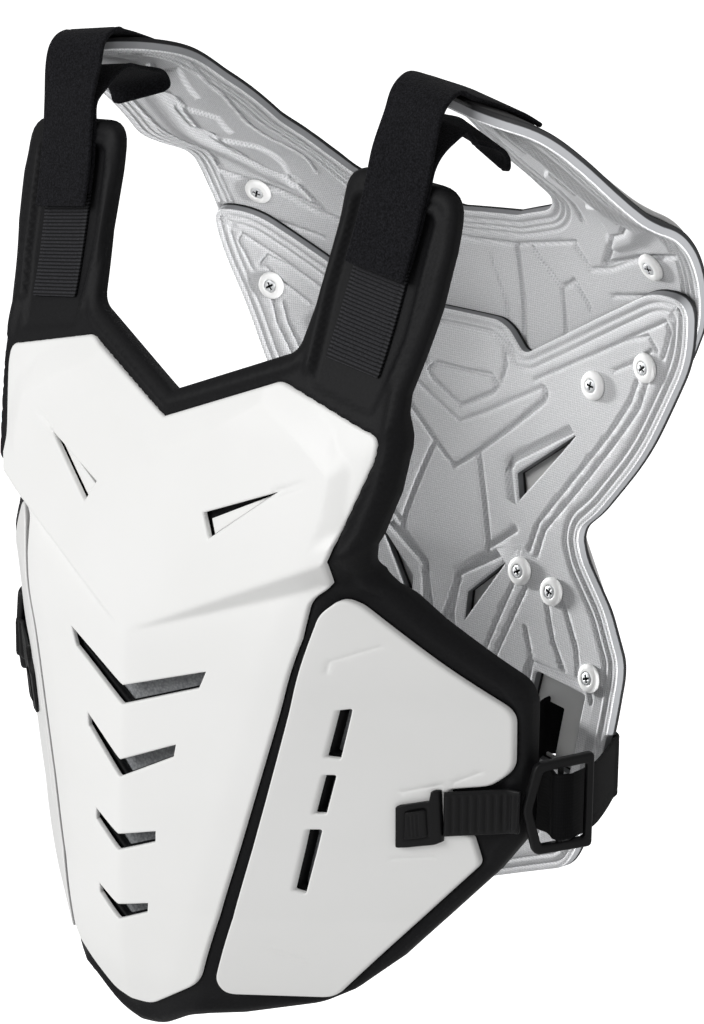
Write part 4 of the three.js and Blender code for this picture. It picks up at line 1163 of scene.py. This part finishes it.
strap_shares = strap_share(STRAP_WIDTH, edge=2.4)
strap_faces = band_faces(STRAP_THICK, STRAP_WIDTH, seam=3.2)
strap_body = ribbon(STRAP_STATIONS, STRAP_STEP, strap_shares, *strap_faces, round_end=3.0)
tongue_body = ribbon(TONGUE_STATIONS, STRAP_STEP, strap_shares, *strap_faces, round_end=4.0)
put_pairs(
    ("loop_strap", strap_body, loop_nylon, "strap_fabric", "shoulder_strap"),
    ("loop_tongue", tongue_body, loop_nylon, "strap_fabric", "shoulder_tongue"),
)


# Buckle frames: pointed five-sided frames of black plastic, moulded in one with the bar that the side
# strap turns round. Their corners and edges are softly rounded.
BUCKLE_Z = -325.0
BUCKLE_START = np.array([180.0, -58.0])
BUCKLE_AIM = np.array([0.45, 0.893])
FRAME_THICK = 4.2
FRAME = [(0, 0, 3), (6.5, 25, 4), (39, 26, 3), (39, -26, 3), (6.5, -25, 4)]
WINDOW = [(5, 0, 2), (10.5, 20, 2), (35, 20.5, 2), (35, -20.5, 2), (10.5, -20, 2)]
BAR_AT, BAR_HALF, BAR_REACH, BAR_RINGS = 21.0, 1.5, 21.5, 24


def on_buckle(flat, w):
    """Points of the buckle: s along its aim from the pointed end, v up, w outward."""
    plan = BUCKLE_START + flat[:, :1] * BUCKLE_AIM + w[:, None] * np.array([BUCKLE_AIM[1], -BUCKLE_AIM[0]])
    return np.concatenate([plan, flat[:, 1:] + BUCKLE_Z], 1)


# Black acetal: moulded, smooth and slightly glossy, with a faint spark-eroded texture.
acetal, tree, shader = material("moulded_acetal_black", 0.45, Specular_IOR_Level=0.22)
spark = grains(tree, size_mm=0.8, detail=2.0)
dress(tree, shader, blend(tree, spark, "#0e0e0f", "#161617"), spark, strength=0.15, deep_mm=0.2)


def bar_body():
    """The strap bar: a round bar along v, as rings of points carried along it."""
    n = BAR_RINGS
    angle = np.linspace(0, 2 * np.pi, n, endpoint=False) + np.pi / n
    rise, around = np.meshgrid(np.linspace(-BAR_REACH, BAR_REACH, n), angle, indexing="ij")
    flat = np.stack([BAR_AT + BAR_HALF * np.cos(around), rise], -1)
    points = on_buckle(flat.reshape(-1, 2), (BAR_HALF * np.sin(around)).ravel())
    return grid_body(points.reshape(n, n, 3), flat)


def joined(*bodies):
    """Several closed bodies as one."""
    starts = np.cumsum([0] + [len(b[0]) for b in bodies])
    faces = np.concatenate([outward(b[0], b[1]) + start for b, start in zip(bodies, starts)])
    return np.concatenate([b[0] for b in bodies]), faces, *(np.concatenate([b[k] for b in bodies]) for k in (2, 3))


frame_faces = level(FRAME_THICK / 2), level(-FRAME_THICK / 2)
frame_body = panel(on_buckle, FRAME, [WINDOW], *frame_faces, edges=(1.3, 1.3), pitches=(1.5, 1.5), side_step=1.2)
put_pairs(("pointed_buckle", joined(frame_body, bar_body()), acetal, "black_plastic", "buckle_frame"))


# Ladder straps: bendable black plastic with teeth across, from the catch on the rib plate to the buckle.
# Catches: a base block on the plate with a taller flange, and a pressed lever with grip lines on top.
LADDER_WIDTH = 25.0
LADDER_THICK = 2.4
LADDER_CLEAR = 0.4
LADDER_MID = LADDER_CLEAR + LADDER_THICK / 2
LADDER_START, LADDER_STEP, LADDER_STEPS = np.array([147.4, -328.5]), np.array([3.12, 0.25]), 9
LADDER_LEAN = np.array([(0, -LADDER_WIDTH / 2), (1, LADDER_WIDTH / 2)])
TOOTH_PITCH, TOOTH_RISE, TOOTH_SINK = 4.2, 0.9, 0.6
TOOTH_UP, TOOTH_DOWN, TEETH_BEGIN = (0, 0.25), (0.45, 1.0), (1.8, 2.6)
TIP_BEFORE, TIP_DROP, TIP_LEAN, TIP_NARROW = 1.3, 0.5, 0.4, 1
RIBBON_STEP = 0.4
ladder_tip = np.array([*(BUCKLE_START - TIP_BEFORE * BUCKLE_AIM), BUCKLE_Z - TIP_DROP])
tip_half = np.array([0, TIP_LEAN, LADDER_WIDTH / 2 - TIP_NARROW])
on_ribs = [LADDER_START + LADDER_STEP * k + LADDER_LEAN for k in range(LADDER_STEPS)]
ladder_stations = [on_front(flat, np.full(2, LADDER_MID)) for flat in on_ribs]
ladder_stations.append(np.stack([ladder_tip - tip_half, ladder_tip + tip_half]))
ladder_plain, ladder_under = band_faces(LADDER_THICK, LADDER_WIDTH, seam=0)


def ladder_face(along, share):
    """Toothed face: ridges across the strap that fall steeply to one side, between plain margins."""
    edge = (1 - np.abs(share)) * LADDER_WIDTH / 2
    phase = (along / TOOTH_PITCH) % 1
    tooth = TOOTH_RISE * ease(phase, *TOOTH_UP) * (1 - ease(phase, *TOOTH_DOWN))
    within = ease(edge, *TEETH_BEGIN)
    return ladder_plain(along, share) - TOOTH_RISE * TOOTH_SINK * within + tooth * within


ladder_shares = strap_share(LADDER_WIDTH, edge=2.2)
ladder_body = ribbon(np.stack(ladder_stations), RIBBON_STEP, ladder_shares, ladder_face, ladder_under)

CATCH = [
    (128.5, -348, 1.5), (144.5, -345.5, 1), (147, -344, 0), (147, -315, 1), (144, -315, 1), (143, -321, 1),
    (129.5, -324, 1.5),
]
LEVER = [(133, -342.5, 1), (142, -340.5, 1), (142, -325, 1), (134, -327, 1)]
CATCH_TOP, LEVER_TOP, LEVER_SUNK = 3.0, 4.2, 0.9
# Both fall by this much towards the front, over these distances from the centre line.
FRONT_FALL, CATCH_FALLS, LEVER_FALLS = 0.8, (134, 129), (138, 133)
LINE_HALF, LINE_DEEP = 0.7, 0.5
GRIP_PITCH, GRIP_DEEP, GRIP_BEGINS = 1.6, 0.45, (1.0, 2.0)


def catch_top(flat):
    """Base block: level, lower towards its front edge, with a shallow frame line round the lever."""
    line = groove(flat, LEVER + LEVER[:1], LINE_HALF, LINE_DEEP)
    return CATCH_TOP - FRONT_FALL * ease(flat[:, 0], *CATCH_FALLS) - line


def lever_top(flat):
    """Lever: crowned, with grip lines that run up and down."""
    grip = 0.5 + 0.5 * np.cos(2 * np.pi * flat[:, 0] / GRIP_PITCH)
    edge = distance(flat, corners(LEVER))
    return LEVER_TOP - GRIP_DEEP * grip * ease(edge, *GRIP_BEGINS) - FRONT_FALL * ease(flat[:, 0], *LEVER_FALLS)


base_body = panel(on_front, CATCH, [], catch_top, level(GAP), edges=(0.8, 0.3), pitches=(0.8, 3.0), side_step=0.9)
lever_body = panel(
    on_front, LEVER, [], lever_top, level(CATCH_TOP - LEVER_SUNK), edges=(0.6, 0.1), pitches=(0.5, 3.0), side_step=0.8
)
put_pairs(
    ("toothed_strap", ladder_body, acetal, "black_plastic", "ladder_strap"),
    ("lever_catch", joined(base_body, lever_body), acetal, "black_plastic", "strap_catch"),
)


# Side straps: black elastic webbing, sewn into a loop that turns round the buckle's bar, runs back to
# the panel, passes round its rim and returns through the strap slot.
SIDE_WIDTH = 36.0
SIDE_THICK = 2.2
# The loop drops towards the back, more over these distances from the centre line; its inner run is slack.
SIDE_DROP, SIDE_TILT, TILT_OVER = 36.5, 9.5, (88, 136)
SLACK_LATE, SLACK_SAG = 1.1, 0.36
LOOP_STEP = 2.0
bar_x, bar_y = BUCKLE_START + BAR_AT * BUCKLE_AIM
LOOP = [
    (bar_x + 2.6, bar_y - 1.5, 2), (bar_x + 3.6, bar_y + 2.2, 3), (180, 2, 20), (158, 45, 20), (140, 78, 8),
    (136, 87.5, 5), (132, 93.5, 4), (125, 97, 4), (110, 101.3, 4), (92, 105.2, 4), (86, 105.4, 3), (82.6, 102, 3),
    (82.3, 96, 3), (84.5, 88, 4), (98, 55, 30), (122, 10, 30), (156, -24, 20), (bar_x - 2.2, bar_y - 1.2, 2),
    (bar_x, bar_y - 3.2, 2),
]


def webbing_loop():
    """Rings of points round the loop: plan points pushed out by half the thickness, a section that
    stands on edge and is rounded at its edges, and a drop towards the back, with a sag in the inner run."""
    inner = wound(walk(corners(LOOP), LOOP_STEP), 1)
    plan = inset(inner, -SIDE_THICK / 2)
    side = np.roll(plan, -1, 0) - np.roll(plan, 1, 0)
    out = unit(np.stack([side[:, 1], -side[:, 0]], 1))
    faces = band_faces(SIDE_THICK, SIDE_WIDTH, seam=2.6)
    far, share, thick = band_grid(run_along(plan), strap_share(SIDE_WIDTH, edge=2.2), *faces)
    xy = plan[:, None] + out[:, None] * thick[..., None]
    back = np.clip((plan[:, 1] - bar_y) / (plan[:, 1].max() - bar_y), 0, 1)
    inner_run = np.arange(len(plan)) > plan[:, 1].argmax()
    slack = back**SLACK_LATE + SLACK_SAG * np.sin(np.pi * back)
    fall = (SIDE_DROP + SIDE_TILT * ease(plan[:, 0], *TILT_OVER)) * np.where(inner_run, slack, back)
    z = BUCKLE_Z + share * SIDE_WIDTH / 2 - fall[:, None]
    points = np.concatenate([xy, z[..., None]], 2)
    return grid_body(points, np.stack([far, share * SIDE_WIDTH / 2], -1), closed=True)


# Elastic webbing: matt black, with ribs along its length and a fine cross weave.
webbing, tree, shader = material("elastic_webbing_black", 0.85, Specular_IOR_Level=0.1)
flat_mm = flat_map(tree)
RIB_MM, PICK_MM = 1.8, 1.0
web = maths(tree, "MULTIPLY", waves(tree, flat_mm, "Y", RIB_MM), waves(tree, flat_mm, "X", PICK_MM))
dress(tree, shader, blend(tree, web, "#0c0c0d", "#141416"), web, strength=0.25, deep_mm=0.3)
put_pairs(("webbing_loop", webbing_loop(), webbing, "strap_fabric", "side_strap"))


# Screws and washers: white moulded washers with a sunk middle on the cloth side of the back, six a side,
# each with a plated pan-head screw that clamps foam and plates together.
# Columns place, x, run, height of the face that it sits on.
SCREWS = [
    ("yoke", 135, 5, YOKE_FOOT), ("wing_outer", 132, -50, 0.0), ("wing_inner", 94, -69, 0.0),
    ("mid_inner", 57, -183, 0.0), ("mid_outer", 82, -188, 0.0), ("lower", 117, -227, 0.0),
]
# Turned profiles: rows of radius and height.
WASHER_PROFILE = [
    (0, 0), (7.7, 0), (8.1, 0.4), (8.1, 1.3), (7.7, 2.1), (7.0, 2.6), (5.8, 2.95), (4.6, 3.05), (4.1, 3.0),
    (3.85, 2.7), (3.8, 1.4), (3.75, 1.3), (0, 1.3),
]
HEAD_PROFILE = [(0, 1.4), (3.4, 1.4), (3.65, 1.6), (3.65, 2.5), (3.4, 2.9), (2.7, 3.2), (1.4, 3.35), (0, 3.4)]
CROSS_ARM, CROSS_HALF, CROSS_DEEP, CROSS_ABOVE = 2.5, 0.6, 1.2, 2.0
CROSS_ENDS, CROSS_WALLS = (CROSS_ARM, CROSS_ARM - 0.3), (CROSS_HALF + 0.1, CROSS_HALF - 0.15)
SPOKES, WASHER_RINGS, HEAD_RINGS, RIM_AT, RIM_SPOTS = 48, 60, 90, 7.6, 12
# Each screw is turned on from the one before it, and the right one from its twin.
SPIN_STEP, SPIN_RIGHT = 0.7, 0.4


def turned(profile, cross):
    """A turned body: a profile of radius and height carried round its axis. A cross is sunk into the top
    where it is asked for."""
    rows = np.array(profile, float)
    run = run_along(rows)
    fine = np.linspace(0, run[-1], HEAD_RINGS if cross else WASHER_RINGS)
    radius, height = np.interp(fine, run, rows[:, 0]), np.interp(fine, run, rows[:, 1])
    angle = np.linspace(0, 2 * np.pi, SPOKES, endpoint=False)
    r, a = np.meshgrid(radius, angle, indexing="ij")
    h = np.repeat(height[:, None], SPOKES, 1)
    x, y = r * np.cos(a), r * np.sin(a)
    if cross:
        slots = [ease(np.abs(u), *CROSS_ENDS) * ease(np.abs(v), *CROSS_WALLS) for u, v in ((x, y), (y, x))]
        h = h - CROSS_DEEP * np.maximum(*slots) * (h > CROSS_ABOVE)
    points = np.stack([x, y, h], -1)
    n = len(fine)
    ring, spot = np.meshgrid(np.arange(n - 1), np.arange(SPOKES), indexing="ij")
    p, q = ring * SPOKES + spot, ring * SPOKES + (spot + 1) % SPOKES
    lower, upper = np.stack([p, q, q + SPOKES], -1)[1:], np.stack([p, q + SPOKES, p + SPOKES], -1)[:-1]
    faces = np.concatenate([lower.reshape(-1, 3), upper.reshape(-1, 3)])
    index = np.arange(n * SPOKES)
    index[:SPOKES], index[-SPOKES:] = 0, (n - 1) * SPOKES
    faces = index[faces]
    used, faces = np.unique(faces, return_inverse=True)
    return points.reshape(-1, 3)[used], faces.reshape(-1, 3)


def seated(body, x, t, layer, spin):
    """A turned body set on the back's cloth face at x and run t, its axis inward, clear of the curved
    face all round its rim, and turned about its axis."""
    reach = 10.0
    foot, deeper = on_back(np.array([(x, t), (x, t)], float), np.array([layer, layer - reach]))
    inward = (deeper - foot) / np.linalg.norm(deeper - foot)
    around = np.linspace(0, 2 * np.pi, RIM_SPOTS, endpoint=False)
    rim_flat = np.stack([x + RIM_AT * np.cos(around), t + RIM_AT * np.sin(around)], 1)
    rim = on_back(rim_flat, np.full(RIM_SPOTS, layer))
    foot = foot + inward * (max(0, np.max((rim - foot) @ inward)) + GAP / 2)
    first = np.cross(inward, (0, 0, 1.0))
    first /= np.linalg.norm(first)
    second = np.cross(inward, first)
    e1 = first * np.cos(spin) + second * np.sin(spin)
    e2 = np.cross(inward, e1)
    points, faces = body
    placed = foot + points[:, :1] * e1 + points[:, 1:2] * e2 + points[:, 2:] * inward
    return placed, faces, points[:, :2], np.zeros(len(points))


# White washers: the same plastic as the plates, a shade greyer. Screws: zinc-plated steel, bright, worn dull.
washer_plastic, tree, shader = material("moulded_washer_white", 0.4, Specular_IOR_Level=0.45)
dress(tree, shader, blend(tree, grains(tree, size_mm=2.5, detail=2.0), "#efefee", "#f8f8f7"))

zinc, tree, shader = material("zinc_plated_steel", 0.45, Metallic=0.75)
scuff = grains(tree, size_mm=0.7, detail=3.0)
# Painted shade in the cross slot: its floor and walls are painted near black for the shade in the recess.
spot = add(tree, "VectorMath", {"operation": "ABSOLUTE"}, i0=add(tree, "UVMap").outputs["UV"]).outputs["Vector"]
spot = add(tree, "SeparateXYZ", Vector=spot)
near, far = (maths(tree, pick, spot.outputs["X"], spot.outputs["Y"]) for pick in ("MINIMUM", "MAXIMUM"))
within, reach = maths(tree, "LESS_THAN", near, CROSS_HALF * MM), maths(tree, "LESS_THAN", far, CROSS_ARM * MM)
metal = blend(tree, scuff, "#cfd1d3", "#f0f1f2")
dress(tree, shader, blend(tree, maths(tree, "MULTIPLY", within, reach), metal, "#0c0c0c"))
tree.links.new(ramp(tree, scuff, To_Min=0.4, To_Max=0.6), shader.inputs["Roughness"])

washer_form, head_form = turned(WASHER_PROFILE, False), turned(HEAD_PROFILE, True)
for number, (place_name, x, t, layer) in enumerate(SCREWS):
    for side, mirror in (("left", False), ("right", True)):
        spin = SPIN_STEP * number + (SPIN_RIGHT if mirror else 0.0)
        washer = seated(washer_form, x, t, layer, 0.0)
        head = seated(head_form, x, t, layer, spin)
        name = f"{place_name}_{side}"
        put(f"washer_{name}", washer, washer_plastic, "white_cap", f"screw_cap_{name}", mirror=mirror)
        put(f"screw_head_{name}", head, zinc, "screw_steel", f"screw_{name}", mirror=mirror)
